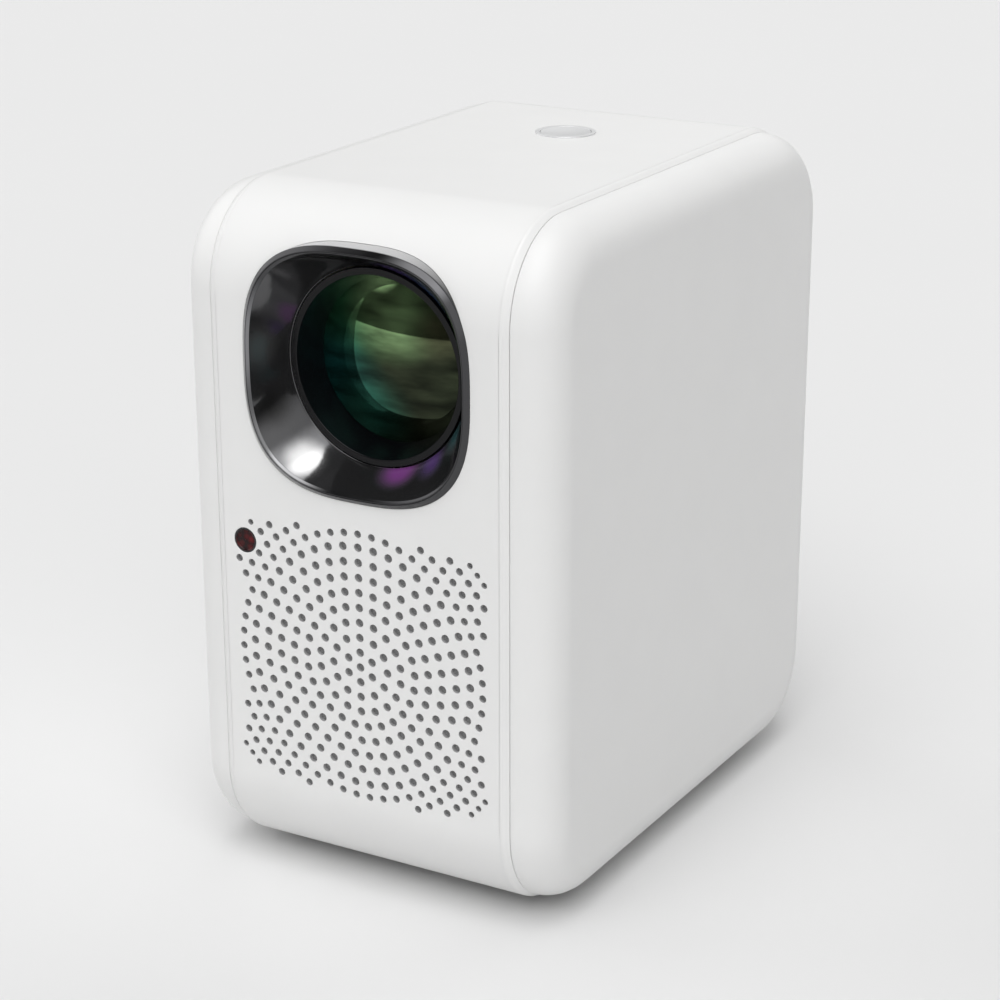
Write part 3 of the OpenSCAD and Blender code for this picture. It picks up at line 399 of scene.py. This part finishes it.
def clear_glass():
    """Clear glass of the lenses inside."""
    m, t, s = shader_material("lens_glass")
    v = coords(t)
    t.links.new(spread(t, noise(t, v, 90, 2), 0.01, 0.04), s.inputs["Roughness"])
    t.links.new(ramp(t, noise(t, v, 40, 1), [(0.3, (0.80, 0.88, 0.92)), (0.7, (0.86, 0.92, 0.90))]),
                s.inputs["Base Color"])
    socket(s, "Transmission Weight", 0.9)
    socket(s, "IOR", 1.52)
    return m


M["mesh_cloth"] = cloth_material()
M["ir_plastic"] = ir_material()
M["lens_glass"] = clear_glass()
M["front_glass"] = glass_with_painted_reflections("front_glass", LENS_Z)
M["funnel_gloss"] = funnel_material(LENS_Z)
M["bezel_chrome"] = bezel_material(LENS_Z)
M["bezel_bevel"] = bevel_material(LENS_Z)
M["wrap_white"] = wrap_material()

# ---------------------------------------------------------------- mesh helpers


def piece(name, verts, faces, normals, material, smooth_only=False):
    """A mesh object. Each face is turned to agree with the normals, which also shade it unless smooth_only."""
    v, n = np.array(verts, float), np.array(normals, float)
    turned = []
    for f in faces:
        i, j, k = f[0], f[len(f) // 3], f[2 * len(f) // 3]
        outward = np.dot(np.cross(v[j] - v[i], v[k] - v[i]), n[i] + n[j] + n[k])
        turned.append(tuple(f) if outward >= 0 else tuple(f)[::-1])
    me = bpy.data.meshes.new(name)
    me.from_pydata([tuple(p) for p in verts], [], turned)
    me.polygons.foreach_set("use_smooth", [True] * len(me.polygons))
    me.update()
    if not smooth_only:
        me.normals_split_custom_set_from_vertices([tuple(n) for n in normals])
    o = bpy.data.objects.new(name, me)
    bpy.context.scene.collection.objects.link(o)
    me.materials.append(material)
    return o


def path(points, steps=6):
    """Points (a, b, fillet radius) to a list of ((a, b), (normal a, normal b)), normals to the right of travel."""
    out = []
    n = len(points)

    def normal(p, q):
        d = np.array(q[:2], float) - np.array(p[:2], float)
        d /= np.linalg.norm(d)
        return np.array([d[1], -d[0]])

    for i, p in enumerate(points):
        here = np.array(p[:2], float)
        if i == 0:
            out.append((here, normal(p, points[1])))
            continue
        if i == n - 1:
            out.append((here, normal(points[-2], p)))
            continue
        n0, n1 = normal(points[i - 1], p), normal(p, points[i + 1])
        turn = math.atan2(n0[0] * n1[1] - n0[1] * n1[0], float(np.dot(n0, n1)))
        if p[2] <= 0 or abs(turn) < 1e-4:
            out.append((here, n0))
            out.append((here, n1))
            continue
        room = p[2] * math.tan(abs(turn) / 2)
        d0 = np.array([-n0[1], n0[0]])
        start = here - d0 * room
        side = 1 if turn > 0 else -1
        centre = start - n0 * p[2] * side
        for k in range(steps + 1):
            a = turn * k / steps
            c, s = math.cos(a), math.sin(a)
            nn = np.array([c * n0[0] - s * n0[1], s * n0[0] + c * n0[1]])
            out.append((centre + nn * p[2] * side, nn))
    return out


def grid_faces(rows, cols):
    """Quads of a tube of rows, each row closed on itself."""
    quads = []
    for j in range(rows - 1):
        for i in range(cols):
            k = (i + 1) % cols
            quads.append((j * cols + i, j * cols + k, (j + 1) * cols + k, (j + 1) * cols + i))
    return quads


def lathe(name, pts, centre, material, axis="Y", segments=128, steps=6):
    """A turned piece from (radius, place along the axis, fillet) points, from its side to its face."""
    side = 1 if pts[1][1] > pts[0][1] else -1
    line = [(p, side * n) for p, n in path(pts, steps)]
    ang = np.linspace(0, 2 * math.pi, segments, endpoint=False)
    verts, norms = [], []
    for (r, a), (nr, na) in line:
        for t in ang:
            c, s = math.cos(t), math.sin(t)
            if axis == "Y":
                verts.append(((centre[0] + r * c) * MM, a * MM, (centre[1] + r * s) * MM))
                norms.append((nr * c, na, nr * s))
            else:
                verts.append(((centre[0] + r * c) * MM, (centre[1] + r * s) * MM, a * MM))
                norms.append((nr * c, nr * s, na))
    return piece(name, verts, grid_faces(len(line), segments), norms, material)


def corner_ring(w, h, r, steps):
    """Corner centres and outward directions round a rounded rectangle, as arrays."""
    cs, ds = [], []
    for q, (sx, sy) in enumerate(((1, 1), (-1, 1), (-1, -1), (1, -1))):
        for k in range(steps + 1):
            a = math.pi / 2 * (q + k / steps)
            cs.append((sx * (w / 2 - r), sy * (h / 2 - r)))
            ds.append((math.cos(a), math.sin(a)))
    return np.array(cs), np.array(ds)


def inside(points, x, y):
    """Even-odd test of arrays x, y against a polygon."""
    p = np.asarray(points)
    q = np.roll(p, -1, axis=0)
    x, y = x[:, None], y[:, None]
    cross = (p[:, 1] > y) != (q[:, 1] > y)
    with np.errstate(divide="ignore", invalid="ignore"):
        at = (q[:, 0] - p[:, 0]) * (y - p[:, 1]) / (q[:, 1] - p[:, 1]) + p[:, 0]
    return (np.sum(cross & (x < at), axis=1) % 2) == 1


def sheet_mesh(outline, holes, extra=()):
    """Triangles of a flat region with holes. Returns 2-D points and triangles turning counterclockwise."""
    pts, edges = [], []
    for loop in [outline] + list(holes):
        base = len(pts)
        pts += [Vector((float(a), float(b))) for a, b in loop]
        edges += [(base + i, base + (i + 1) % len(loop)) for i in range(len(loop))]
    pts += [Vector((float(a), float(b))) for a, b in extra]
    co, _, tri, _, _, _ = delaunay_2d_cdt(pts, edges, [], 0, 1e-6)
    co = np.array([tuple(v) for v in co])
    tri = np.array([t for t in tri if len(t) == 3])
    mid = co[tri].mean(axis=1)
    keep = inside(outline, mid[:, 0], mid[:, 1])
    for h in holes:
        h = np.asarray(h)
        near = (np.abs(mid - h.mean(0)) <= np.abs(h - h.mean(0)).max(0)).all(axis=1)
        idx = np.where(near)[0]
        if len(idx):
            keep[idx[inside(h, mid[idx, 0], mid[idx, 1])]] = False
    tri = tri[keep]
    a, b, c = co[tri[:, 0]], co[tri[:, 1]], co[tri[:, 2]]
    area = (b[:, 0] - a[:, 0]) * (c[:, 1] - a[:, 1]) - (b[:, 1] - a[:, 1]) * (c[:, 0] - a[:, 0])
    tri[area < 0] = tri[area < 0][:, ::-1]
    return co, tri


def circle(cx, cy, r, n=24):
    """Points round a circle."""
    return [(cx + r * math.cos(2 * math.pi * k / n), cy + r * math.sin(2 * math.pi * k / n)) for k in range(n)]


def squircle(half, n=256, squash=0.986, power=2.85):
    """Outline points and outward directions of the lens opening, evenly turned."""
    a = np.linspace(0, 2 * math.pi, n, endpoint=False)
    c, s = np.cos(a), np.sin(a)
    r = half / (np.abs(c) ** power + np.abs(s / squash) ** power) ** (1 / power)
    x, z = r * c, r * s
    nx = np.sign(x) * np.abs(x / half) ** (power - 1)
    nz = np.sign(z) * np.abs(z / half / squash) ** (power - 1) / squash
    length = np.hypot(nx, nz)
    return np.stack([x, z], 1), np.stack([nx / length, nz / length], 1)


# ---------------------------------------------------------------- casing wrap
crest = BAND - EDGE - 0.6
half_line = path([(crest, 0, 0), (BAND - EDGE, 0, 2.2), (BAND, -DROP, 0.35), (BAND, -WALL, 0)])
cs, ds = corner_ring(DEPTH, HEIGHT, R, ROUND_STEPS)
verts, norms, faces = [], [], []
for side in (-1, 1):
    base = len(verts)
    for (x, lift), (nx, nr) in [(p, -n) for p, n in half_line]:
        for c, d in zip(cs, ds):
            verts.append((side * x * MM, (c[0] + (R + lift) * d[0]) * MM, (MIDZ + c[1] + (R + lift) * d[1]) * MM))
            norms.append((side * nx, nr * d[0], nr * d[1]))
    for f in grid_faces(len(half_line), len(cs)):
        g = tuple(base + i for i in f)
        faces.append(g if side > 0 else g[::-1])


def add_sheet(outline, holes, extra, place):
    """Adds a flat or rolled part of the wrap's crest; place maps 2-D points to points and normals."""
    co, tri = sheet_mesh(outline, holes, extra)
    base = len(verts)
    for a, b in co:
        p, n = place(a, b)
        verts.append(tuple(v * MM for v in p))
        norms.append(n)
    p0, p1, p2 = (Vector(verts[base + int(i)]) for i in tri[0])
    flip = (p1 - p0).cross(p2 - p0).dot(Vector(norms[base + int(tri[0][0])])) < 0
    for t in tri:
        g = tuple(base + int(i) for i in t)
        faces.append(g[::-1] if flip else g)


def add_wall(loop_fn, line, count):
    """Adds the walls of an opening: line holds offsets and depths, loop_fn maps them to points and normals."""
    base = len(verts)
    for (off, dep), (no, nd) in line:
        for k in range(count):
            p, n = loop_fn(k, off, dep, no, nd)
            verts.append(tuple(v * MM for v in p))
            norms.append(n)
    for f in grid_faces(len(line), count):
        faces.append(tuple(base + i for i in f))


def straight(depth):
    """Line of a plain wall of that depth, for add_wall."""
    return [((0, 0), (0, 1)), ((0, depth), (0, 1))]


# Front face and the upper front rounding in one sheet: b is the length along the surface from the lower rounding.
flat_run = HEIGHT - 2 * R


def front_place(a, b):
    """Point and normal at a sideways and b up along the front surface."""
    if b <= flat_run:
        return (a, FRONT, FLOOR + R + b), (0, -1, 0)
    t = min((b - flat_run) / R, math.pi / 2)
    c, s = math.cos(t), math.sin(t)
    return (a, FRONT + R - R * c, TOP - R + R * s), (0, -c, s)


def along(z):
    """Length along the front surface at height z."""
    if z <= TOP - R:
        return z - FLOOR - R
    return flat_run + R * math.asin(min(1.0, (z - TOP + R) / R))


RIM = 0.12  # rounded edge of a sound hole
RING_COUNTS = [1, 6, 12, 18, 25, 30, 35, 40, 45, 55, 65, 75, 98]  # holes in each ring, from the centre
INNER_RINGS, INNER_PITCH, OUTER_PITCH = 8, 4.45, 3.93
BLANK_HOLE = (10, 53)  # ring and place of the one hole that is left out beside the window
grille = []
for k, count in enumerate(RING_COUNTS):
    hole_r = 1.25 * (1.0 if k <= INNER_RINGS else 0.886 if k <= 11 else 0.71)
    ring_r = min(k, INNER_RINGS) * INNER_PITCH + max(k - INNER_RINGS, 0) * OUTER_PITCH
    for i in range(count):
        a = math.radians(90 - 360 * i / count)
        x, z = ring_r * math.cos(a), ring_r * math.sin(a)
        fits = abs(x) < GRILLE_HALF and abs(z) < (39 if abs(x) > 22 else 40) and (k, i) != BLANK_HOLE
        if fits and math.hypot(x - IR[0], z + GRILLE_Z - IR[1]) > 5:
            grille.append((x, GRILLE_Z + z, hole_r))
HOLE_STEPS, IR_STEPS = 24, 48
IR_HOLE_R, IR_RIM = 3.7, 0.25
holes = [circle(x, along(z), r + RIM, HOLE_STEPS) for x, z, r in grille]
holes.append(circle(IR[0], along(IR[1]), IR_HOLE_R + IR_RIM, IR_STEPS))
lens_out, lens_dir = squircle(BEZEL_HALF + 0.06)
lens_loop = np.array([(x, along(LENS_Z + z)) for x, z in lens_out])
holes.append(lens_loop)
rows = [flat_run + ARC * k / ROUND_STEPS for k in range(ROUND_STEPS + 1)]
xs = np.linspace(-crest, crest, 31)
extra = np.array([(x, b) for b in rows[:-1] for x in xs[1:-1]])
gaps = np.min(np.linalg.norm(extra[:, None] - lens_loop[None], axis=2), axis=1)
extra = extra[~inside(lens_loop, extra[:, 0], extra[:, 1]) & (gaps > 0.6)]
outline = [(x, 0.0) for x in xs] + [(crest, b) for b in rows] + [(x, rows[-1]) for x in xs[::-1][1:-1]]
outline += [(-crest, b) for b in rows[::-1]]
add_sheet(outline, holes, extra, front_place)


def round_wall(x, z, r, steps):
    """Wall function of a round opening in the front face, for add_wall."""
    def wall(k, off, dep, no, nd):
        t = 2 * math.pi * k / steps
        c, s = math.cos(t), math.sin(t)
        return (x + (r + off) * c, FRONT + dep, z + (r + off) * s), (abs(no) * -c, -abs(nd), abs(no) * -s)
    return wall


HOLE_DEPTH = 2.3  # just short of the wall's thickness
hole_line = path([(RIM, 0, 0), (0, 0, RIM * 0.98), (0, HOLE_DEPTH, 0)], 3)
for x, z, r in grille:
    add_wall(round_wall(x, z, r, HOLE_STEPS), hole_line, HOLE_STEPS)
ir_line = path([(IR_RIM, 0, 0), (0, 0, 0.24), (0, HOLE_DEPTH, 0)], 4)
add_wall(round_wall(*IR, IR_HOLE_R, IR_STEPS), ir_line, IR_STEPS)


def lens_wall(k, off, dep, no, nd):
    (x, z), (dx, dz) = lens_out[k], lens_dir[k]
    p, _ = front_place(x, along(LENS_Z + z))
    return (p[0], p[1] + dep, p[2]), (-dx, 0, -dz)


add_wall(lens_wall, straight(2.2), len(lens_out))

# Top with the key's opening, back with the rear cover's opening, and the bottom with its slots and pockets.


def rounded(w, h, r, cx=0.0, cy=0.0, steps=8):
    """Outline of a rounded rectangle."""
    c, d = corner_ring(w, h, r, steps)
    return [(cx + p[0] + r * q[0], cy + p[1] + r * q[1]) for p, q in zip(c, d)]


def between(b0, b1):
    """Outline of the crest's width from b0 to b1."""
    return [(-crest, b0), (crest, b0), (crest, b1), (-crest, b1)]


back_loop = rounded(REAR_W, REAR_H, REAR_CORNER, 0, MIDZ)
add_sheet(between(FRONT + R, BACK - R), [circle(*KEY, 8.2, 64)], [], lambda a, b: ((a, b, TOP), (0, 0, 1)))
add_sheet(between(FLOOR + R, TOP - R), [back_loop], [], lambda a, b: ((a, BACK, b), (0, 1, 0)))
slot_loops = [rounded(3, 24, 1.49, i * 5.5, y, 5) for i in range(-6, 7) if i for y in (-26, 26)]
foot_loops = [circle(x, y, 7.2, 48) for x in (-FOOT_X, FOOT_X) for y in (-FOOT_Y, FOOT_Y)]
add_sheet(between(FRONT + R, BACK - R), slot_loops + foot_loops + [circle(0, 0, 5.5, 48)], [],
          lambda a, b: ((a, b, FLOOR), (0, 0, -1)))


def inward(loop, k):
    """Direction from an outline's point to its middle."""
    v = np.mean(np.array(loop), axis=0) - np.array(loop[k])
    return v / np.linalg.norm(v)


def floor_wall(loop):
    """Wall function of an opening in the bottom, for add_wall."""
    def wall(k, off, dep, no, nd):
        v = inward(loop, k)
        return (*loop[k], FLOOR + dep), (*v, 0)
    return wall


def back_wall(k, off, dep, no, nd):
    v = inward(back_loop, k)
    return (back_loop[k][0], BACK - dep, back_loop[k][1]), (v[0], 0, v[1])


POCKET_DEPTH = 0.8
for loops, depth in ((slot_loops, WALL), (foot_loops, POCKET_DEPTH)):
    for loop in loops:
        add_wall(floor_wall(loop), straight(depth), len(loop))
add_wall(back_wall, straight(WALL), len(back_loop))
# The three plain roundings of the crest.
for y0, z0, start in ((BACK - R, TOP - R, 0), (BACK - R, FLOOR + R, 270), (FRONT + R, FLOOR + R, 180)):
    base = len(verts)
    for x in (-crest, crest):
        for k in range(ROUND_STEPS + 1):
            t = math.radians(start + 90 * k / ROUND_STEPS)
            c, s = math.cos(t), math.sin(t)
            verts.append((x * MM, (y0 + R * c) * MM, (z0 + R * s) * MM))
            norms.append((0, c, s))
    for k in range(ROUND_STEPS):
        opposite = base + ROUND_STEPS + 1 + k
        faces.append((base + k, base + k + 1, opposite + 1, opposite))
wrap = piece("casing_wrap", verts, faces, norms, M["wrap_white"])
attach(wrap, "casing")
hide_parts("band_shell")

# ---------------------------------------------------------------- side covers
seam_x = BAND + 0.1
lip = SIDE - seam_x - COVER_R
cover_line = path([(-WALL, 0, 0), (0, 0, 0.3), (0, lip, 0)], 4)
COVER_STEPS = 24
for k in range(1, COVER_STEPS + 1):
    t = math.pi / 2 * k / COVER_STEPS
    c, s = math.cos(t), math.sin(t)
    cover_line.append((np.array([-COVER_R * (1 - c), lip + COVER_R * s]), np.array([c, s])))
pr = R - DROP
cs, ds = corner_ring(DEPTH - 2 * DROP, HEIGHT - 2 * DROP, pr, ROUND_STEPS)
for name, side in (("left", -1), ("right", 1)):
    verts, norms = [], []
    for (off, x), (nr, nx) in cover_line:
        for c, d in zip(cs, ds):
            verts.append((side * (seam_x + x) * MM, (c[0] + (pr + off) * d[0]) * MM,
                          (MIDZ + c[1] + (pr + off) * d[1]) * MM))
            norms.append((side * nx, nr * d[0], nr * d[1]))
    faces = grid_faces(len(cover_line), len(cs))
    last = (len(cover_line) - 1) * len(cs)
    faces.append(tuple(last + i for i in range(len(cs))))
    cover = piece(name + "_cover", verts, faces, norms, M["shell_white"])
    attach(cover, "casing")
    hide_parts(name + "_panel")

# ---------------------------------------------------------------- lens bezel and funnel


def squircle_sweep(name, line, material, count=256, blend=None):
    """Sweeps (half size, y) points round the lens opening. blend turns a row towards a round outline."""
    unit, direction = squircle(1.0, count)
    verts, hints = [], []
    for k, ((h, y), (nh, ny)) in enumerate(line):
        b = blend[k] if blend else 0.0
        for (ux, uz), (dx, dz) in zip(unit, direction):
            hints.append((nh * dx, ny, nh * dz))
            verts.append((((1 - b) * h * ux + b * h * dx) * MM, y * MM,
                          (LENS_Z + (1 - b) * h * uz + b * h * dz) * MM))
    return piece(name, verts, grid_faces(len(line), count), hints, material, True)


CREST_Y = FRONT - 1.2  # the ring's foremost line
outer_line = path([(BEZEL_HALF, FRONT + 10, 0), (BEZEL_HALF, FRONT + 0.6, 0)], 5)
bevel_line = path([(BEZEL_HALF, FRONT + 0.6, 0), (BEZEL_HALF, FRONT, 0.3), (34.85, CREST_Y, 0.15),
                   (34.7, CREST_Y, 0.05), (34.62, FRONT - 1.0, 0.03), (34.5, FRONT - 1.14, 0.06),
                   (34.3, FRONT - 1.1, 0.15), (33.7, FRONT - 0.55, 0.1), (33.85, FRONT + 0.6, 0)], 5)
for name, profile, finish in (("lens_trim", outer_line, "bezel_chrome"),
                              ("lens_trim_bevel", bevel_line, "bezel_bevel")):
    trim = squircle_sweep(name, [(p, -n) for p, n in profile], M[finish])
    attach(trim, "casing")
    if name == "lens_trim":
        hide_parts("lens_bezel")

MOUTH_HALF, MOUTH_Y, END_R, END_Y = 33.8, FRONT - 0.6, 28.4, -77.4
FUNNEL_STEPS = 40
mix = [k / FUNNEL_STEPS for k in range(FUNNEL_STEPS + 1)]
line = [((MOUTH_HALF + (END_R - MOUTH_HALF) * u, MOUTH_Y + (END_Y - MOUTH_Y) * u), (-0.9, -0.4)) for u in mix]
line.append(((END_R + 0.6, END_Y + 0.3), (-0.4, -0.9)))
funnel = squircle_sweep("lens_cone", line, M["funnel_gloss"], 320, mix + [1.0])
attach(funnel, "casing")
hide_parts("lens_funnel")

# ---------------------------------------------------------------- lens front
rim_line = [(RIM_R, -71, 0), (RIM_R, -78, 0.15), (26.0, -78, 0.4), (25.5, -76.2, 0.2), (23.45, -69.3, 0.2),
            (GLASS_R, -68.6, 0)]
front = lathe("lens_rim", rim_line, (0, LENS_Z), M["barrel_black"], segments=192)
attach(front, "lens_barrel")
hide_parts("lens_front_ring")

DOME_ROWS, DOME_COLS = 40, 160
verts, norms = [], []
for j in range(DOME_ROWS + 1):
    r = 24.6 * (1 - j / DOME_ROWS)
    y = GLASS_Y + math.sqrt(DOME_R ** 2 - GLASS_R ** 2) - math.sqrt(DOME_R ** 2 - r ** 2)
    nr, ny = r / DOME_R, -math.sqrt(1 - (r / DOME_R) ** 2)
    r = max(r, 0.02)
    for k in range(DOME_COLS):
        t = 2 * math.pi * k / DOME_COLS
        verts.append((r * math.cos(t) * MM, y * MM, (LENS_Z + r * math.sin(t)) * MM))
        norms.append((nr * math.cos(t), ny, nr * math.sin(t)))
tip = tuple(range(DOME_ROWS * DOME_COLS, (DOME_ROWS + 1) * DOME_COLS))
glass = piece("front_glass", verts, grid_faces(DOME_ROWS + 1, DOME_COLS) + [tip], norms, M["front_glass"])
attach(glass, "lens_barrel")
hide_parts("front_element")

# ---------------------------------------------------------------- infrared window, key, feet
window_line = [(IR_R, -85.5, 0), (IR_R, FRONT + 0.25, 0.3), (3.1, FRONT + 0.1, 0.2), (2.7, FRONT + 0.45, 0.2),
               (0.05, FRONT + 0.3, 0)]
window = lathe("ir_lens", window_line, IR, M["ir_plastic"], segments=64)
ir_rim_line = [(3.68, -86, 0), (3.68, FRONT + 0.15, 0.12), (3.3, FRONT + 0.05, 0.1), (3.05, FRONT + 0.3, 0)]
black_rim = lathe("ir_rim", ir_rim_line, IR, M["black_plastic"], segments=64)
for o in (window, black_rim):
    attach(o, "casing")
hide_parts("ir_window")

key_top = TOP + 0.4
collar_line = [(COLLAR_R, TOP - 0.02, 0), (COLLAR_R, key_top, 0.2), (KEY_HOLE_R, key_top, 0.2),
               (KEY_HOLE_R, TOP - 4, 0)]
collar = lathe("key_collar", collar_line, KEY, M["button_silver"], "Z", 96)
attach(collar, "casing")
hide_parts("button_ring")
KEY_DISH, DISH_STEPS = 0.45, 8
key_line = [(KEY_R, TOP - 3, 0), (KEY_R, key_top, 0.2)]
for k in range(1, DISH_STEPS + 1):
    u = 1 - k / DISH_STEPS
    key_line.append((max(KEY_R * u, 0.03), key_top - KEY_DISH * (1 - u ** 2), 0.4))
key_cap = lathe("key_cap", key_line, KEY, M["button_silver"], "Z", 96)
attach(key_cap, "power_button")
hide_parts("power_button")

foot_line = [(7, 2.8, 0), (7, 0, 0.7), (5.4, 0, 0.2), (5.2, 0.4, 0.2), (4.6, 0.4, 0.2), (4.4, 0, 0.2), (0.05, 0, 0)]
for i, (sx, sy) in enumerate([(-1, -1), (1, -1), (-1, 1), (1, 1)]):
    foot = lathe(f"foot_{i + 1}", foot_line, (sx * FOOT_X, sy * FOOT_Y), M["foot_rubber"], "Z", 64)
    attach(foot, "casing")
    if i == 0:
        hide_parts("rubber_feet")

# ---------------------------------------------------------------- finishes of the CAD nodes
slot_of = {s["node"]: s["material_slot"] for s in frame["record"]["subparts"]}
for name, o in nodes.items():
    finish = M.get(slot_of.get(name, ""), M["black_plastic"])
    o.data.materials.clear()
    o.data.materials.append(finish)

# ---------------------------------------------------------------- floor and light
FLOOR_HALF = 12  # metres
me = bpy.data.meshes.new("floor")
me.from_pydata([(sx * FLOOR_HALF, sy * FLOOR_HALF, 0) for sx, sy in ((-1, -1), (1, -1), (1, 1), (-1, 1))], [],
               [(0, 1, 2, 3)])
floor = bpy.data.objects.new("floor", me)
bpy.context.scene.collection.objects.link(floor)
fm, ft, fs = shader_material("floor_paper")
ft.links.new(ramp(ft, noise(ft, coords(ft), 3, 1), [(0.3, (0.735, 0.735, 0.735)), (0.7, (0.74, 0.74, 0.74))]),
             fs.inputs["Base Color"])
socket(fs, "Roughness", 0.9)
socket(fs, "Specular IOR Level", 0.0)
me.materials.append(fm)

world = bpy.data.worlds.new("studio")
bpy.context.scene.world = world
world.use_nodes = True
wt = world.node_tree
back = wt.nodes["Background"]
wtex = wt.nodes.new("ShaderNodeTexCoord")


def softbox(az, el, inner, outer, level):
    """A soft round light patch in the studio dome, from its azimuth right of the front, height, and half angles."""
    a, e = math.radians(az), math.radians(el)
    d = (math.cos(e) * math.sin(a), -math.cos(e) * math.cos(a), math.sin(e))
    dot = wt.nodes.new("ShaderNodeVectorMath")
    dot.operation = "DOT_PRODUCT"
    dot.inputs[1].default_value = d
    wt.links.new(wtex.outputs["Generated"], dot.inputs[0])
    m = wt.nodes.new("ShaderNodeMapRange")
    m.interpolation_type = "SMOOTHSTEP"
    m.inputs["From Min"].default_value = math.cos(math.radians(outer))
    m.inputs["From Max"].default_value = math.cos(math.radians(inner))
    m.inputs["To Min"].default_value = 0.0
    m.inputs["To Max"].default_value = level
    wt.links.new(dot.outputs["Value"], m.inputs["Value"])
    return m.outputs["Result"]


DOME_LEVEL = 0.03  # light of the dome itself
SOFTBOXES = [
    (15, 60, 10, 35, 3.0),  # main light, high in front
    (0, 88, 5, 25, 2.0),  # overhead
    (45, 25, 10, 40, 1.1),  # right front
    (90, 62, 8, 30, 0.14),  # high right
    (-90, 25, 10, 40, 1.4),  # left
    (180, 30, 10, 45, 0.95),  # behind
    (-42, 26, 5, 13, 1.3),  # reflection in the funnel
    (8, 22, 3, 10, 0.8),  # reflection in the ring
]
total = softbox(*SOFTBOXES[0])
for box in SOFTBOXES[1:]:
    total = calc(wt, "ADD", total, softbox(*box))
lift = wt.nodes.new("ShaderNodeMath")
lift.operation = "ADD"
lift.inputs[1].default_value = DOME_LEVEL
wt.links.new(total, lift.inputs[0])
wt.links.new(lift.outputs[0], back.inputs["Strength"])
socket(back, "Color", (1, 1, 1, 1))
